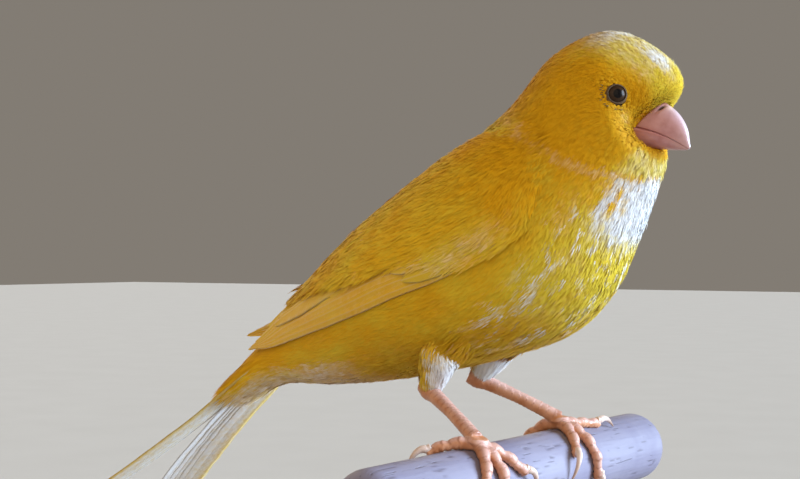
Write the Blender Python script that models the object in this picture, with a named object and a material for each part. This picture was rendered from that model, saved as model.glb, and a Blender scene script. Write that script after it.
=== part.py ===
"""A perched canary, life size, on a short cut perch held by a plain display stand.

The bird faces +X, its left side is +Y, and Z is up. The perch runs along Y. The origin is the
centre of the base's underside. The bird's own sizes are in millimetres, measured forward of the
perch's middle and up from its top line, and are turned into metres where each mesh is made.
"""
import math

import bmesh
import bpy
import numpy as np
from mathutils import Matrix, Vector

MM = 0.001
GAP = 0.3
SIDES = {"left": 1, "right": -1}
SMOOTH_BELOW = math.radians(40)

# Display stand and perch
BASE_RADIUS = 52.0
BASE_HEIGHT = 8.0
BASE_EDGE = 2.5
PERCH_RADIUS = 6.25
PERCH_NEAR_END = -45.0
PERCH_FAR_END = 48.0
PERCH_END_ROUND = 3.6
PERCH_AXIS_HEIGHT = 52.0
PERCH_TOP = PERCH_AXIS_HEIGHT + PERCH_RADIUS
ROD_RADIUS = 2.0
ROD_FLANGE_RADIUS = 4.5
ROD_FLANGE_HEIGHT = 2.0
ROD_FLANGE_RIM = 1.2
ROD_PLACES = {"stand_rod_right": -33.0, "stand_rod_left": 35.0}
TURNED_STEPS = 28

# Each ring of the body hangs between a point of the back line and a point of the belly line: back x,
# back z, belly x, belly z, half width, height of the widest place from 0 to 1, and how far its sides
# are swept back, which is what leaves room for the bill's wide root.
BODY_RINGS = {
    "bill_root":   (27.2, 54.0, 26.4, 46.9, 3.5, 0.50, 3.2),
    "face":        (28.8, 57.2, 26.6, 46.0, 5.6, 0.46, 4.2),
    "forehead":    (26.4, 61.6, 26.2, 44.8, 7.8, 0.46, 3.7),
    "crown":       (18.2, 65.7, 25.4, 42.8, 9.7, 0.47, 1.5),
    "hind_crown":  (8.8, 62.8, 24.4, 40.2, 10.8, 0.49, 0.3),
    "nape":        (1.8, 55.4, 23.0, 37.0, 12.6, 0.50, 0.0),
    "mantle":      (-6.5, 48.8, 20.6, 31.8, 15.0, 0.50, 0.0),
    "shoulder":    (-15.8, 42.0, 16.8, 24.6, 16.6, 0.48, 0.0),
    "back":        (-24.8, 35.4, 9.0, 18.2, 16.8, 0.46, 0.0),
    "loin":        (-33.4, 28.6, -4.0, 13.8, 15.0, 0.46, 0.0),
    "rump":        (-41.0, 22.6, -19.0, 10.4, 11.6, 0.48, 0.0),
    "tail_root":   (-47.6, 17.6, -36.0, 7.4, 7.6, 0.50, 0.0),
    "tail_coverts": (-53.2, 13.2, -49.0, 6.6, 5.6, 0.50, 0.0),
}
BODY_LENGTHWISE = 40
BODY_AROUND = 32
# The body is parted across the lines of these ring numbers.
HEAD_CUT = 4.7
NECK_CUT = 6.1
TRUNK_CUT = 9.6

# Folded wing, laid on the coat: the ring numbers of its shoulder and tip, then the angles of its
# upper and lower edges along it, in degrees up from the widest place of the body.
WING_START, WING_TIP = 5.0, 11.85
WING_UPPER = ((0.0, 22.0), (0.08, 46.0), (0.25, 67.0), (0.5, 80.0), (0.8, 76.0), (1.0, 26.0))
WING_LOWER = (
    (0.0, 6.0), (0.06, -12.0), (0.2, -23.0), (0.3, -17.0), (0.5, 0.5), (0.78, 11.5), (1.0, 18.0))
WING_THICKNESS = 2.2
WING_EDGE = 0.7
WING_SWELL = (1.2, 0.12, 0.25)
WING_PARTING = 0.46
WING_PARTING_GAP = 0.012
WING_STEPS, WING_ROWS = 11, 8
# How far each wing's tip stands off the coat: back, inwards and up
WING_TIP_SHIFT = {"left": (-9.6, -2.6, 2.6), "right": (-1.0, 0.0, 0.8)}

# Tail: half a fan on each side of the middle line
TAIL_ROOT = (-51.9, 9.9)
TAIL_SLOPE = math.radians(-37.5)
TAIL_LENGTH = 46.0
TAIL_NOTCH = 5.0
TAIL_PARTING = 6.0
TAIL_PARTING_START = 0.35
TAIL_ROOT_HALF = 5.5
# The tail is carried a little rolled: width of each half at its tip, how far its outer edge hangs
# lower than the middle, and how far its tip stands up
TAIL_TIP_HALF = {"left": 9.5, "right": 8.2}
TAIL_DROOP = {"left": 2.6, "right": -0.2}
TAIL_TIP_RISE = {"left": -1.0, "right": 1.5}
TAIL_ROOT_THICKNESS, TAIL_TIP_THICKNESS = 4.4, 1.0
TAIL_EDGE_THINNING = 0.35
TAIL_STEPS, TAIL_ROWS = 12, 6

# Legs: the upper leg leaves the belly, the bare shank runs from the ankle to the foot on the perch
THIGH_TOP = {"left": (-6.0, 9.6, 18.5), "right": (-6.6, -10.2, 18.5)}
ANKLE = {"left": (-12.0, 7.8, 8.7), "right": (-11.6, -8.2, 7.9)}
FOOT = {"left": (0.3, 15.0, 1.6), "right": (1.8, -15.6, 1.3)}
THIGH_TOP_RADIUS, THIGH_END_RADIUS = 4.8, 1.75
THIGH_END = 0.84
THIGH_STEPS, THIGH_AROUND = 8, 16
TARSUS_RADII = ((0.0, 1.5), (0.12, 1.35), (0.5, 1.15), (0.85, 1.25), (1.0, 1.35))
TARSUS_STEPS, TARSUS_AROUND = 9, 12
TOE_RADIUS = 0.85
TOE_START = 3.1
TOE_STEPS = 7
TOE_PAD_SWELL, TOE_PAD_SPACING = 0.1, 2.2
PAD_RADIUS = 2.7
PAD_HALF_HEIGHT = 1.15
# Toe: turn from straight ahead towards the outer side in degrees, length, claw length
TOES = {
    "left": {
        "hallux": (-172.0, 5.6, 4.6),
        "inner_toe": (-34.0, 6.4, 4.2),
        "middle_toe": (8.0, 9.6, 4.6),
        "outer_toe": (76.0, 7.2, 4.2),
    },
    "right": {
        "hallux": (142.0, 4.8, 4.4),
        "inner_toe": (-46.0, 6.6, 4.2),
        "middle_toe": (-4.0, 9.6, 4.6),
        "outer_toe": (36.0, 7.4, 4.2),
    },
}
CLAW_ROOT, CLAW_TIP = 0.62, 0.16
CLAW_ARCH, CLAW_DROP = 0.5, 0.35
CLAW_STEPS = 6

# Bill in side view, from its root to its tip: top line, mouth line, bottom line and half widths
BILL_RIDGE = ((26.9, 54.1), (29.1, 52.2), (30.5, 49.8), (31.0, 47.0))
BILL_MOUTH = ((23.2, 50.2), (26.0, 49.4), (28.6, 48.2), (30.8, 46.7))
BILL_FLOOR = ((23.6, 47.1), (26.0, 46.8), (28.2, 46.6), (30.2, 46.5))
BILL_HALF_WIDTH = (3.1, 2.5, 1.5, 0.35)
BILL_STEPS, BILL_AROUND = 8, 12
EYE = (21.45, 6.95, 54.85)
EYE_RADIUS = 2.1
BALL_AROUND, BALL_ROWS = 12, 8

# Colour, metallic and roughness of each finish
FINISHES = {
    "coat": ((0.80, 0.52, 0.05), 0.0, 0.75),
    "wing": ((0.86, 0.62, 0.22), 0.0, 0.7),
    "tail": ((0.82, 0.76, 0.66), 0.0, 0.7),
    "leg": ((0.78, 0.42, 0.28), 0.0, 0.5),
    "claw": ((0.72, 0.58, 0.54), 0.0, 0.35),
    "bill": ((0.82, 0.53, 0.50), 0.0, 0.35),
    "eye": ((0.02, 0.015, 0.01), 0.0, 0.05),
    "perch": ((0.74, 0.70, 0.76), 0.0, 0.6),
    "stand_wood": ((0.26, 0.15, 0.08), 0.0, 0.45),
    "stand_metal": ((0.55, 0.53, 0.50), 1.0, 0.35),
}


def clear_scene():
    for obj in list(bpy.data.objects):
        bpy.data.objects.remove(obj)


def finish_material(name):
    """Principled material with the colour, metallic and roughness of one finish."""
    material = bpy.data.materials.get(name)
    if material:
        return material
    color, metallic, roughness = FINISHES[name]
    material = bpy.data.materials.new(name)
    material.use_nodes = True
    shader = material.node_tree.nodes["Principled BSDF"]
    shader.inputs["Base Color"].default_value = (*color, 1)
    shader.inputs["Metallic"].default_value = metallic
    shader.inputs["Roughness"].default_value = roughness
    return material


def place_on_perch(name, data):
    """Object for bird geometry, lifted so that its zero height is the perch's top line."""
    obj = bpy.data.objects.new(name, data)
    obj.location = (0, 0, PERCH_TOP * MM)
    bpy.context.scene.collection.objects.link(obj)
    return obj


def add_object(name, bm, finish):
    """Object from a bmesh, with its faces turned outwards."""
    bmesh.ops.recalc_face_normals(bm, faces=bm.faces)
    mesh = bpy.data.meshes.new(name)
    bm.to_mesh(mesh)
    bm.free()
    mesh.shade_smooth()
    mesh.set_sharp_from_angle(angle=SMOOTH_BELOW)
    mesh.materials.append(finish_material(finish))
    return place_on_perch(name, mesh)


def loft(rings):
    """Closed bmesh through rings of points, rows by columns by xyz, with a flat cap at each end."""
    bm = bmesh.new()
    loops = [[bm.verts.new(point * MM) for point in ring] for ring in rings]
    count = len(loops[0])
    for first, second in zip(loops, loops[1:]):
        for i in range(count):
            j = (i + 1) % count
            bm.faces.new((first[i], first[j], second[j], second[i]))
    bm.faces.new(loops[0][::-1])
    bm.faces.new(loops[-1])
    return bm


def circle_rings(points, radii, around):
    """Rings round a line of points, square to it, for a loft."""
    points = np.asarray(points, float)
    ahead = np.gradient(points, axis=0)
    ahead /= np.linalg.norm(ahead, axis=1, keepdims=True)
    side = np.cross(ahead, (0, 1, 0))
    side /= np.linalg.norm(side, axis=1, keepdims=True)
    other = np.cross(ahead, side)
    turn = np.linspace(0, 2 * np.pi, around, endpoint=False)
    spread = side[:, None] * np.cos(turn)[:, None] + other[:, None] * np.sin(turn)[:, None]
    return points[:, None] + spread * np.asarray(radii)[:, None, None]


def tapered_tube(name, points, radii, finish, roundness):
    """Round limb along a line of points with a radius at each, its ends closed."""
    data = bpy.data.curves.new(name, "CURVE")
    data.dimensions = "3D"
    data.bevel_depth = MM
    data.bevel_resolution = roundness
    data.use_fill_caps = True
    line = data.splines.new("POLY")
    line.points.add(len(points) - 1)
    for spot, point, radius in zip(line.points, points, radii):
        spot.co = (*(np.asarray(point) * MM), 1)
        spot.radius = radius
    data.materials.append(finish_material(finish))
    return place_on_perch(name, data)


def cutter(name, bm):
    """Hidden object whose volume is taken away from its neighbours."""
    obj = add_object(name, bm, "coat")
    obj.hide_render = True
    obj.display_type = "WIRE"
    return obj


def cut_away(obj, tool):
    """Take the tool's volume from the object."""
    modifier = obj.modifiers.new("clearance", "BOOLEAN")
    modifier.operation = "DIFFERENCE"
    modifier.object = tool


def spline(rows, t):
    """Catmull-Rom curve through the rows; t counts rows from 0."""
    v = np.asarray(rows, float)
    v = np.concatenate([[2 * v[0] - v[1]], v, [2 * v[-1] - v[-2]]])
    t = np.clip(np.asarray(t, float), 0, len(v) - 3 - 1e-9)
    i = t.astype(int)
    f = (t - i)[..., None]
    before, start, end, after = v[i], v[i + 1], v[i + 2], v[i + 3]
    slope = (end - before) * f
    bend = (2 * before - 5 * start + 4 * end - after) * f ** 2
    twist = (3 * start - before - 3 * end + after) * f ** 3
    return 0.5 * (2 * start + slope + bend + twist)


def body_surface(ring, angle):
    """Point of the body's coat: ring counts rings from the bill, angle turns up from the left side."""
    ring, angle = np.broadcast_arrays(np.asarray(ring, float), np.asarray(angle, float))
    row = spline(list(BODY_RINGS.values()), ring)
    back = np.stack([row[..., 0], 0 * ring, row[..., 1]], -1)
    belly = np.stack([row[..., 2], 0 * ring, row[..., 3]], -1)
    width, widest, sweep = row[..., 4], row[..., 5], row[..., 6]
    rise = np.sin(angle)
    reach = np.where(rise > 0, 1 - widest, widest) * rise
    point = belly + (back - belly) * (widest + reach)[..., None]
    point[..., 0] -= sweep * np.cos(angle) ** 2
    point[..., 1] += width * np.cos(angle)
    return point


def body_offset(ring, angle, distance):
    """The same point moved outwards from the coat by the distance."""
    step = 0.01
    along = body_surface(ring + step, angle) - body_surface(ring - step, angle)
    around = body_surface(ring, angle + step) - body_surface(ring, angle - step)
    normal = np.cross(along, around)
    normal /= np.linalg.norm(normal, axis=-1, keepdims=True)
    return body_surface(ring, angle) + normal * np.asarray(distance)[..., None]


def body_loft(grow=0.0):
    """The whole coat from the bill to the tail coverts, grown outwards where it serves as a cutter."""
    ring = np.linspace(0, len(BODY_RINGS) - 1.001, BODY_LENGTHWISE)
    angle = np.linspace(0, 2 * np.pi, BODY_AROUND, endpoint=False)
    if grow:
        return loft(body_offset(ring[:, None], angle[None, :], grow))
    return loft(body_surface(ring[:, None], angle[None, :]))


def parting_line(ring):
    """Middle and tailward direction of the plane that parts the body at a ring number."""
    back = Vector(body_surface(ring, math.pi / 2)) * MM
    belly = Vector(body_surface(ring, -math.pi / 2)) * MM
    across = back - belly
    return (back + belly) / 2, Vector((-across.z, 0, across.x)).normalized()


def keep_side(bm, ring, tailward):
    """Cut the bmesh at a ring's plane, keep one side and close it, half a gap away."""
    middle, direction = parting_line(ring)
    if not tailward:
        direction = -direction
    cut = bmesh.ops.bisect_plane(
        bm, geom=bm.verts[:] + bm.edges[:] + bm.faces[:], dist=0,
        plane_co=middle + direction * GAP / 2 * MM, plane_no=-direction, clear_outer=True)
    edges = [item for item in cut["geom_cut"] if isinstance(item, bmesh.types.BMEdge)]
    bmesh.ops.contextual_create(bm, geom=edges)


def make_body():
    """Head, neck, trunk and rump, parted by thin flat cuts."""
    pieces = {
        "head": (None, HEAD_CUT),
        "neck": (HEAD_CUT, NECK_CUT),
        "trunk": (NECK_CUT, TRUNK_CUT),
        "rump": (TRUNK_CUT, None),
    }
    made = {}
    for name, (front, rear) in pieces.items():
        bm = body_loft()
        if front is not None:
            keep_side(bm, front, tailward=True)
        if rear is not None:
            keep_side(bm, rear, tailward=False)
        made[name] = add_object(name, bm, "coat")
    return made


def bill_rings(rim, mouth, grow=0.0):
    """Rings of one half of the bill: arched from the flat of the mouth line out to the rim line."""
    share = np.linspace(0, len(rim) - 1.001, BILL_STEPS)
    outer, flat = spline(rim, share), spline(mouth, share)
    arch = outer - flat
    height = np.linalg.norm(arch, axis=1, keepdims=True)
    flat = flat - arch / height * grow
    arch = arch * (1 + 2 * grow / height)
    width = np.interp(share, range(len(BILL_HALF_WIDTH)), BILL_HALF_WIDTH) + grow
    turn = np.linspace(0, 2 * np.pi, BILL_AROUND, endpoint=False)
    bulge = np.clip(np.sin(turn), 0, 1)
    rings = np.zeros((BILL_STEPS, BILL_AROUND, 3))
    rings[:, :, 0] = flat[:, None, 0] + arch[:, None, 0] * bulge
    rings[:, :, 2] = flat[:, None, 1] + arch[:, None, 1] * bulge
    rings[:, :, 1] = width[:, None] * np.cos(turn)
    rings[0, :, 0] -= grow
    return rings


def eye_ball(side, grow=0.0):
    """Ball of one eye, grown where it serves as a cutter."""
    bm = bmesh.new()
    bmesh.ops.create_uvsphere(
        bm, u_segments=BALL_AROUND, v_segments=BALL_ROWS, radius=(EYE_RADIUS + grow) * MM,
        matrix=Matrix.Translation(Vector((EYE[0], EYE[1] * side, EYE[2])) * MM))
    return bm


def make_head_parts(head):
    """Bill in two halves and the two eyes, with their clearance cut from the head."""
    mouth_below = np.array(BILL_MOUTH) - (0.0, GAP)
    halves = {"upper": (BILL_RIDGE, BILL_MOUTH), "lower": (BILL_FLOOR, mouth_below)}
    for word, (rim, mouth) in halves.items():
        add_object("bill_" + word, loft(bill_rings(rim, mouth)), "bill")
        cut_away(head, cutter("bill_room_" + word, loft(bill_rings(rim, mouth, GAP))))
    for word, side in SIDES.items():
        add_object("eye_" + word, eye_ball(side), "eye")
        cut_away(head, cutter("eye_room_" + word, eye_ball(side, GAP)))


def wing_sheet(along, across, word, height):
    """Point over the coat: along runs from shoulder to tip, across from the lower to the upper edge."""
    upper = np.interp(along, *zip(*WING_UPPER))
    lower = np.interp(along, *zip(*WING_LOWER))
    angle = np.radians(lower + (upper - lower) * across)
    ring = WING_START + (WING_TIP - WING_START) * along
    point = body_offset(ring, angle, height)
    point += np.array(WING_TIP_SHIFT[word]) * along[..., None] ** 3
    point[..., 1] *= SIDES[word]
    return point


def make_wing(word):
    """Folded wing in two nodes: the covert shield at the shoulder and the long flight feathers."""
    spans = {
        "wing_coverts_" + word: (0.0, WING_PARTING),
        "wing_primaries_" + word: (WING_PARTING + WING_PARTING_GAP, 1.0),
    }
    stretch, shift, least = WING_SWELL
    for name, (start, stop) in spans.items():
        along, across = np.meshgrid(
            np.linspace(start, stop, WING_STEPS), np.linspace(0, 1, WING_ROWS), indexing="ij")
        crown = np.sqrt(np.clip(1 - (2 * across - 1) ** 4, 0, 1))
        swell = np.clip(np.sin(np.pi * np.clip(along * stretch + shift, 0, 1)), least, 1)
        thickness = WING_EDGE + (WING_THICKNESS - WING_EDGE) * crown * swell
        outer = wing_sheet(along, across, word, GAP + thickness)
        inner = wing_sheet(along, across, word, GAP + 0 * across)
        add_object(name, loft(np.concatenate([outer, inner[:, ::-1]], axis=1)), "wing")


def make_tail(word):
    """Half of the tail fan: a slab that thins and widens to a slanting tip, the outer feather longest."""
    along, across = np.meshgrid(
        np.linspace(0, 1, TAIL_STEPS), np.linspace(0, 1, TAIL_ROWS), indexing="ij")
    half = TAIL_ROOT_HALF + (TAIL_TIP_HALF[word] - TAIL_ROOT_HALF) * along
    reach = along * (TAIL_LENGTH - TAIL_NOTCH * (1 - across) ** 1.5)
    parting = TAIL_PARTING * np.clip(along - TAIL_PARTING_START, 0, 1) ** 1.3
    droop = TAIL_DROOP[word] * across ** 2 * (0.3 + 0.7 * along)
    sink = droop - TAIL_TIP_RISE[word] * along ** 2
    thickness = TAIL_ROOT_THICKNESS + (TAIL_TIP_THICKNESS - TAIL_ROOT_THICKNESS) * along ** 0.6
    thickness = thickness * (1 - TAIL_EDGE_THINNING * across ** 2)
    x = TAIL_ROOT[0] - reach * math.cos(TAIL_SLOPE)
    y = SIDES[word] * (GAP / 2 + parting + half * across)
    z = TAIL_ROOT[1] + reach * math.sin(TAIL_SLOPE)
    square = np.array((math.sin(TAIL_SLOPE), 0, math.cos(TAIL_SLOPE)))
    middle = np.stack([x, y, z], -1) - sink[..., None] * square
    upper = middle + thickness[..., None] / 2 * square
    lower = middle - thickness[..., None] / 2 * square
    add_object("tail_" + word, loft(np.concatenate([upper, lower[:, ::-1]], axis=1)), "tail")


def make_thigh(word, body_cutter):
    """Feathered upper leg, cut off where it meets the belly."""
    share = np.linspace(0, THIGH_END, THIGH_STEPS)
    top, end = np.array(THIGH_TOP[word]), np.array(ANKLE[word])
    radii = THIGH_TOP_RADIUS + (THIGH_END_RADIUS - THIGH_TOP_RADIUS) * share / THIGH_END
    rings = circle_rings(top + (end - top) * share[:, None], radii, THIGH_AROUND)
    cut_away(add_object("thigh_" + word, loft(rings), "coat"), body_cutter)


def perch_point(foot, heading, travel, height):
    """Point over the perch, a distance travelled from the foot on a heading, at a height above it."""
    radius = PERCH_RADIUS + np.asarray(height)
    start = math.asin(foot[0] / PERCH_RADIUS)
    turn = start + np.asarray(travel) * math.cos(heading) / radius
    y = foot[1] + np.asarray(travel) * math.sin(heading)
    return np.stack([radius * np.sin(turn), y, radius * np.cos(turn) - PERCH_RADIUS], -1)


def pad_bmesh(foot, grow=0.0):
    """Low round pad under the shank, tilted to lie on the perch."""
    tilt = math.asin(foot[0] / PERCH_RADIUS)
    middle = perch_point(foot, 0.0, 0.0, GAP + PAD_HALF_HEIGHT)
    size = np.array((PAD_RADIUS, PAD_RADIUS, PAD_HALF_HEIGHT)) + grow
    shape = (Matrix.Translation(Vector(middle * MM)) @ Matrix.Rotation(tilt, 4, "Y")
             @ Matrix.Diagonal((*(size * MM), 1)))
    bm = bmesh.new()
    bmesh.ops.create_uvsphere(
        bm, u_segments=BALL_AROUND, v_segments=BALL_ROWS, radius=1, matrix=shape)
    return bm


def make_toe(name, claw_name, foot, heading, length, claw):
    """Toe lying along the perch from beside the pad, and the claw beyond it."""
    low = TOE_RADIUS + GAP
    travel = np.linspace(TOE_START, TOE_START + length, TOE_STEPS)
    radii = TOE_RADIUS * (1 + TOE_PAD_SWELL * np.cos(travel * TOE_PAD_SPACING))
    tapered_tube(name, perch_point(foot, heading, travel, low + 0 * travel), radii, "leg", 2)
    share = np.linspace(0, 1, CLAW_STEPS)
    travel = travel[-1] + GAP + claw * share
    height = low + CLAW_ARCH * np.sin(math.pi * share) - CLAW_DROP * share
    radii = CLAW_ROOT + (CLAW_TIP - CLAW_ROOT) * share
    tapered_tube(claw_name, perch_point(foot, heading, travel, height), radii, "claw", 1)


def make_leg(word):
    """Bare shank, pad, four toes and claws of one leg."""
    ankle, foot = np.array(ANKLE[word]), np.array(FOOT[word])
    share = np.linspace(0, 1, TARSUS_STEPS)
    radii = np.interp(share, *zip(*TARSUS_RADII))
    rings = circle_rings(ankle + (foot - ankle) * share[:, None], radii, TARSUS_AROUND)
    shank = add_object("tarsus_" + word, loft(rings), "leg")
    cut_away(shank, cutter("pad_room_" + word, pad_bmesh(foot, GAP)))
    add_object("foot_pad_" + word, pad_bmesh(foot), "leg")
    for toe, (turn, length, claw) in TOES[word].items():
        heading = math.radians(turn) * SIDES[word]
        make_toe(f"{toe}_{word}", f"{toe}_claw_{word}", foot, heading, length, claw)


def turned_profile(name, profile, finish, place=(0, 0)):
    """Solid turned round an upright axis from a profile of radius and height above the floor."""
    bm = bmesh.new()
    verts = [bm.verts.new((radius * MM, 0, height * MM)) for radius, height in profile]
    edges = [bm.edges.new(pair) for pair in zip(verts, verts[1:])]
    bmesh.ops.spin(bm, geom=verts + edges, axis=(0, 0, 1), cent=(0, 0, 0), steps=TURNED_STEPS,
                   angle=2 * math.pi, use_merge=True)
    bmesh.ops.remove_doubles(bm, verts=bm.verts, dist=1e-6)
    obj = add_object(name, bm, finish)
    obj.location = (place[0] * MM, place[1] * MM, 0)


def make_perch():
    """Cut length of a round perch with rounded ends."""
    bm = bmesh.new()
    bmesh.ops.create_cone(
        bm, cap_ends=True, segments=TURNED_STEPS, radius1=PERCH_RADIUS * MM,
        radius2=PERCH_RADIUS * MM, depth=(PERCH_FAR_END - PERCH_NEAR_END) * MM)
    rims = [edge for edge in bm.edges if abs(edge.verts[0].co.z - edge.verts[1].co.z) < 1e-6]
    bmesh.ops.bevel(bm, geom=rims, offset=PERCH_END_ROUND * MM, segments=4, profile=0.5,
                    affect="EDGES")
    perch = add_object("perch", bm, "perch")
    perch.rotation_euler = (math.pi / 2, 0, 0)
    perch.location = (0, (PERCH_FAR_END + PERCH_NEAR_END) / 2 * MM, PERCH_AXIS_HEIGHT * MM)


def make_stand():
    """Turned base and the two rods with small flanges that reach up to the perch."""
    edge = BASE_RADIUS - BASE_EDGE
    turned_profile("stand_base", (
        (0, 0), (BASE_RADIUS, 0), (BASE_RADIUS, BASE_HEIGHT - BASE_EDGE),
        (edge + 0.7 * BASE_EDGE, BASE_HEIGHT - 0.3 * BASE_EDGE), (edge, BASE_HEIGHT),
        (0, BASE_HEIGHT)), "stand_wood")
    floor = BASE_HEIGHT + GAP
    top = PERCH_AXIS_HEIGHT - PERCH_RADIUS - GAP
    for name, y in ROD_PLACES.items():
        turned_profile(name, (
            (0, floor), (ROD_FLANGE_RADIUS, floor), (ROD_FLANGE_RADIUS, floor + ROD_FLANGE_RIM),
            (ROD_RADIUS, floor + ROD_FLANGE_HEIGHT), (ROD_RADIUS, top), (0, top)),
            "stand_metal", (0, y))


def main():
    clear_scene()
    body = make_body()
    make_head_parts(body["head"])
    body_cutter = cutter("body_room", body_loft(GAP))
    for word in SIDES:
        make_wing(word)
        make_tail(word)
        make_thigh(word, body_cutter)
        make_leg(word)
    make_perch()
    make_stand()


main()
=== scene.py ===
# %% [markdown]
# # A perched canary
#
# This lesson dresses a plain CAD canary in skin, feathers, horn and scales. The CAD solids give the
# place and size of everything. Each new piece is a surface worked out with numpy and put into a mesh,
# and each finish is a procedural material. Lengths are written in millimetres and turned into metres
# when a mesh is made. The bird faces +X, its left is +Y, and +Z is up.

# %% Load the frame
import math

import bpy
import numpy as np
from mathutils import Matrix, Vector
from mathutils.kdtree import KDTree


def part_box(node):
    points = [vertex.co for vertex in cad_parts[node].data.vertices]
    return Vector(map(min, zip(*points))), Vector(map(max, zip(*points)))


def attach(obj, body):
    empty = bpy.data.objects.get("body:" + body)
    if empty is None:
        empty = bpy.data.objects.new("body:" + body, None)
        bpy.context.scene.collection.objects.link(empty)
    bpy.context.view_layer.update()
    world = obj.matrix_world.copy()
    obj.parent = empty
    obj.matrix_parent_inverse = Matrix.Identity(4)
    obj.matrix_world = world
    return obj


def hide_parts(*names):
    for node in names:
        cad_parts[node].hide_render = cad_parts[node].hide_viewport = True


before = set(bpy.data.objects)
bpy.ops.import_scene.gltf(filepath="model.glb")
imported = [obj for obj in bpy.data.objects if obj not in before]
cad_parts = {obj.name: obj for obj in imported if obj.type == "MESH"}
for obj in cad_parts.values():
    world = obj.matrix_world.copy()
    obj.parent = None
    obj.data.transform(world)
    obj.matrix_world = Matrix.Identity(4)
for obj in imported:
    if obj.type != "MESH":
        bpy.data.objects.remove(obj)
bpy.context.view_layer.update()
MM = 0.001
SIDES = {"left": 1, "right": -1}
TAU = 2 * math.pi
perch_low, perch_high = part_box("perch")
PERCH_TOP = perch_high.z / MM
PERCH_RADIUS = (perch_high.z - perch_low.z) / 2 / MM
print("perch top", round(PERCH_TOP, 2), "mm above the floor, radius", round(PERCH_RADIUS, 2))

# %% [markdown]
# ## Meshes from arrays
#
# A mesh can be built face by face, but a coat has hundreds of thousands of faces, so whole arrays are
# handed to Blender at once. Points are in bird millimetres, whose zero height is the perch's top line.

# %% Array mesh helpers
def world_points(points):
    """Bird millimetres to world metres: lift by the perch's top and scale by 0.001."""
    return (np.asarray(points, float) + (0, 0, PERCH_TOP)) * MM


def set_masks(mesh, masks):
    """One value for each point and each named mask."""
    for word, values in masks.items():
        field = mesh.attributes.new(word, "FLOAT", "POINT")
        field.data.foreach_set("value", np.asarray(values, np.float32).ravel())


def mesh_object(name, points, corners, sizes, uv=None, masks=None):
    """Object from points, the corner list of all faces end to end, and each face's corner count."""
    mesh = bpy.data.meshes.new(name)
    mesh.vertices.add(len(points))
    mesh.vertices.foreach_set("co", world_points(points).astype(np.float32).ravel())
    mesh.loops.add(len(corners))
    mesh.loops.foreach_set("vertex_index", np.asarray(corners, np.int32))
    mesh.polygons.add(len(sizes))
    starts = np.concatenate([[0], np.cumsum(sizes)[:-1]]).astype(np.int32)
    mesh.polygons.foreach_set("loop_start", starts)
    mesh.update(calc_edges=True)
    mesh.shade_smooth()
    if uv is not None:
        layer = mesh.uv_layers.new(name="OFBake")
        layer.data.foreach_set("uv", uv[corners].astype(np.float32).ravel())
    set_masks(mesh, masks or {})
    obj = bpy.data.objects.new(name, mesh)
    bpy.context.scene.collection.objects.link(obj)
    return obj


def grid_corners(rows, columns):
    """Corner list of the quads of a grid whose last column joins its first."""
    r, c = np.meshgrid(np.arange(rows - 1), np.arange(columns), indexing="ij")
    after = (c + 1) % columns
    quads = np.stack([r * columns + c, r * columns + after,
                      (r + 1) * columns + after, (r + 1) * columns + c], -1)
    return quads.reshape(-1, 4)


def closed_grid(points):
    """Points and faces of a tube of rings, each end closed by a fan round its middle."""
    rows, columns = points.shape[:2]
    quads = grid_corners(rows, columns)
    flat = points.reshape(-1, 3)
    ends = np.stack([points[0].mean(0), points[-1].mean(0)])
    first, last = len(flat), len(flat) + 1
    c = np.arange(columns)
    after = (c + 1) % columns
    cap = np.stack([after, c, np.full(columns, first)], -1)
    tip = np.stack([(rows - 1) * columns + c, (rows - 1) * columns + after, np.full(columns, last)], -1)
    return np.concatenate([flat, ends]), quads, np.concatenate([cap, tip])


def tube_object(name, tubes, masks=None):
    """One object from several closed tubes of rings, turned outwards by the sign of their volume."""
    points, corners, sizes, start = [], [], [], 0
    for rings in tubes:
        spots, quads, caps = closed_grid(rings)
        a, b, c = (spots[quads[:, i]] for i in range(3))
        if np.einsum("ij,ij->i", a - spots.mean(0), np.cross(b - a, c - a)).sum() < 0:
            quads, caps = quads[:, ::-1], caps[:, ::-1]
        points.append(spots)
        corners += [quads.ravel() + start, caps.ravel() + start]
        sizes += [np.full(len(quads), 4), np.full(len(caps), 3)]
        start += len(spots)
    joined = {word: np.concatenate(values) for word, values in (masks or {}).items()}
    return mesh_object(name, np.concatenate(points), np.concatenate(corners), np.concatenate(sizes),
                       masks=joined)


def mesh_arrays(mesh):
    """Points in bird millimetres and normals of a mesh, as arrays."""
    count = len(mesh.vertices)
    points, normals = np.zeros(count * 3, np.float32), np.zeros(count * 3, np.float32)
    mesh.vertices.foreach_get("co", points)
    mesh.vertex_normals.foreach_get("vector", normals)
    return points.reshape(-1, 3) / MM - (0, 0, PERCH_TOP), normals.reshape(-1, 3).astype(float)


def report(obj):
    """Print how many triangles a piece has."""
    sizes = np.zeros(len(obj.data.polygons), np.int32)
    obj.data.polygons.foreach_get("loop_total", sizes)
    print(obj.name, int((sizes - 2).sum()), "triangles")
    return obj


# %% [markdown]
# ## The body's outer surface
#
# A small bird's outline is all feather: the coat is a smooth egg with a ball for a head. It could be
# sculpted, but a loft through a dozen sections is exact and can be read at any point. The same loft
# was used for the CAD body, so skin, feathers and wings can all be laid on it.

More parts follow.
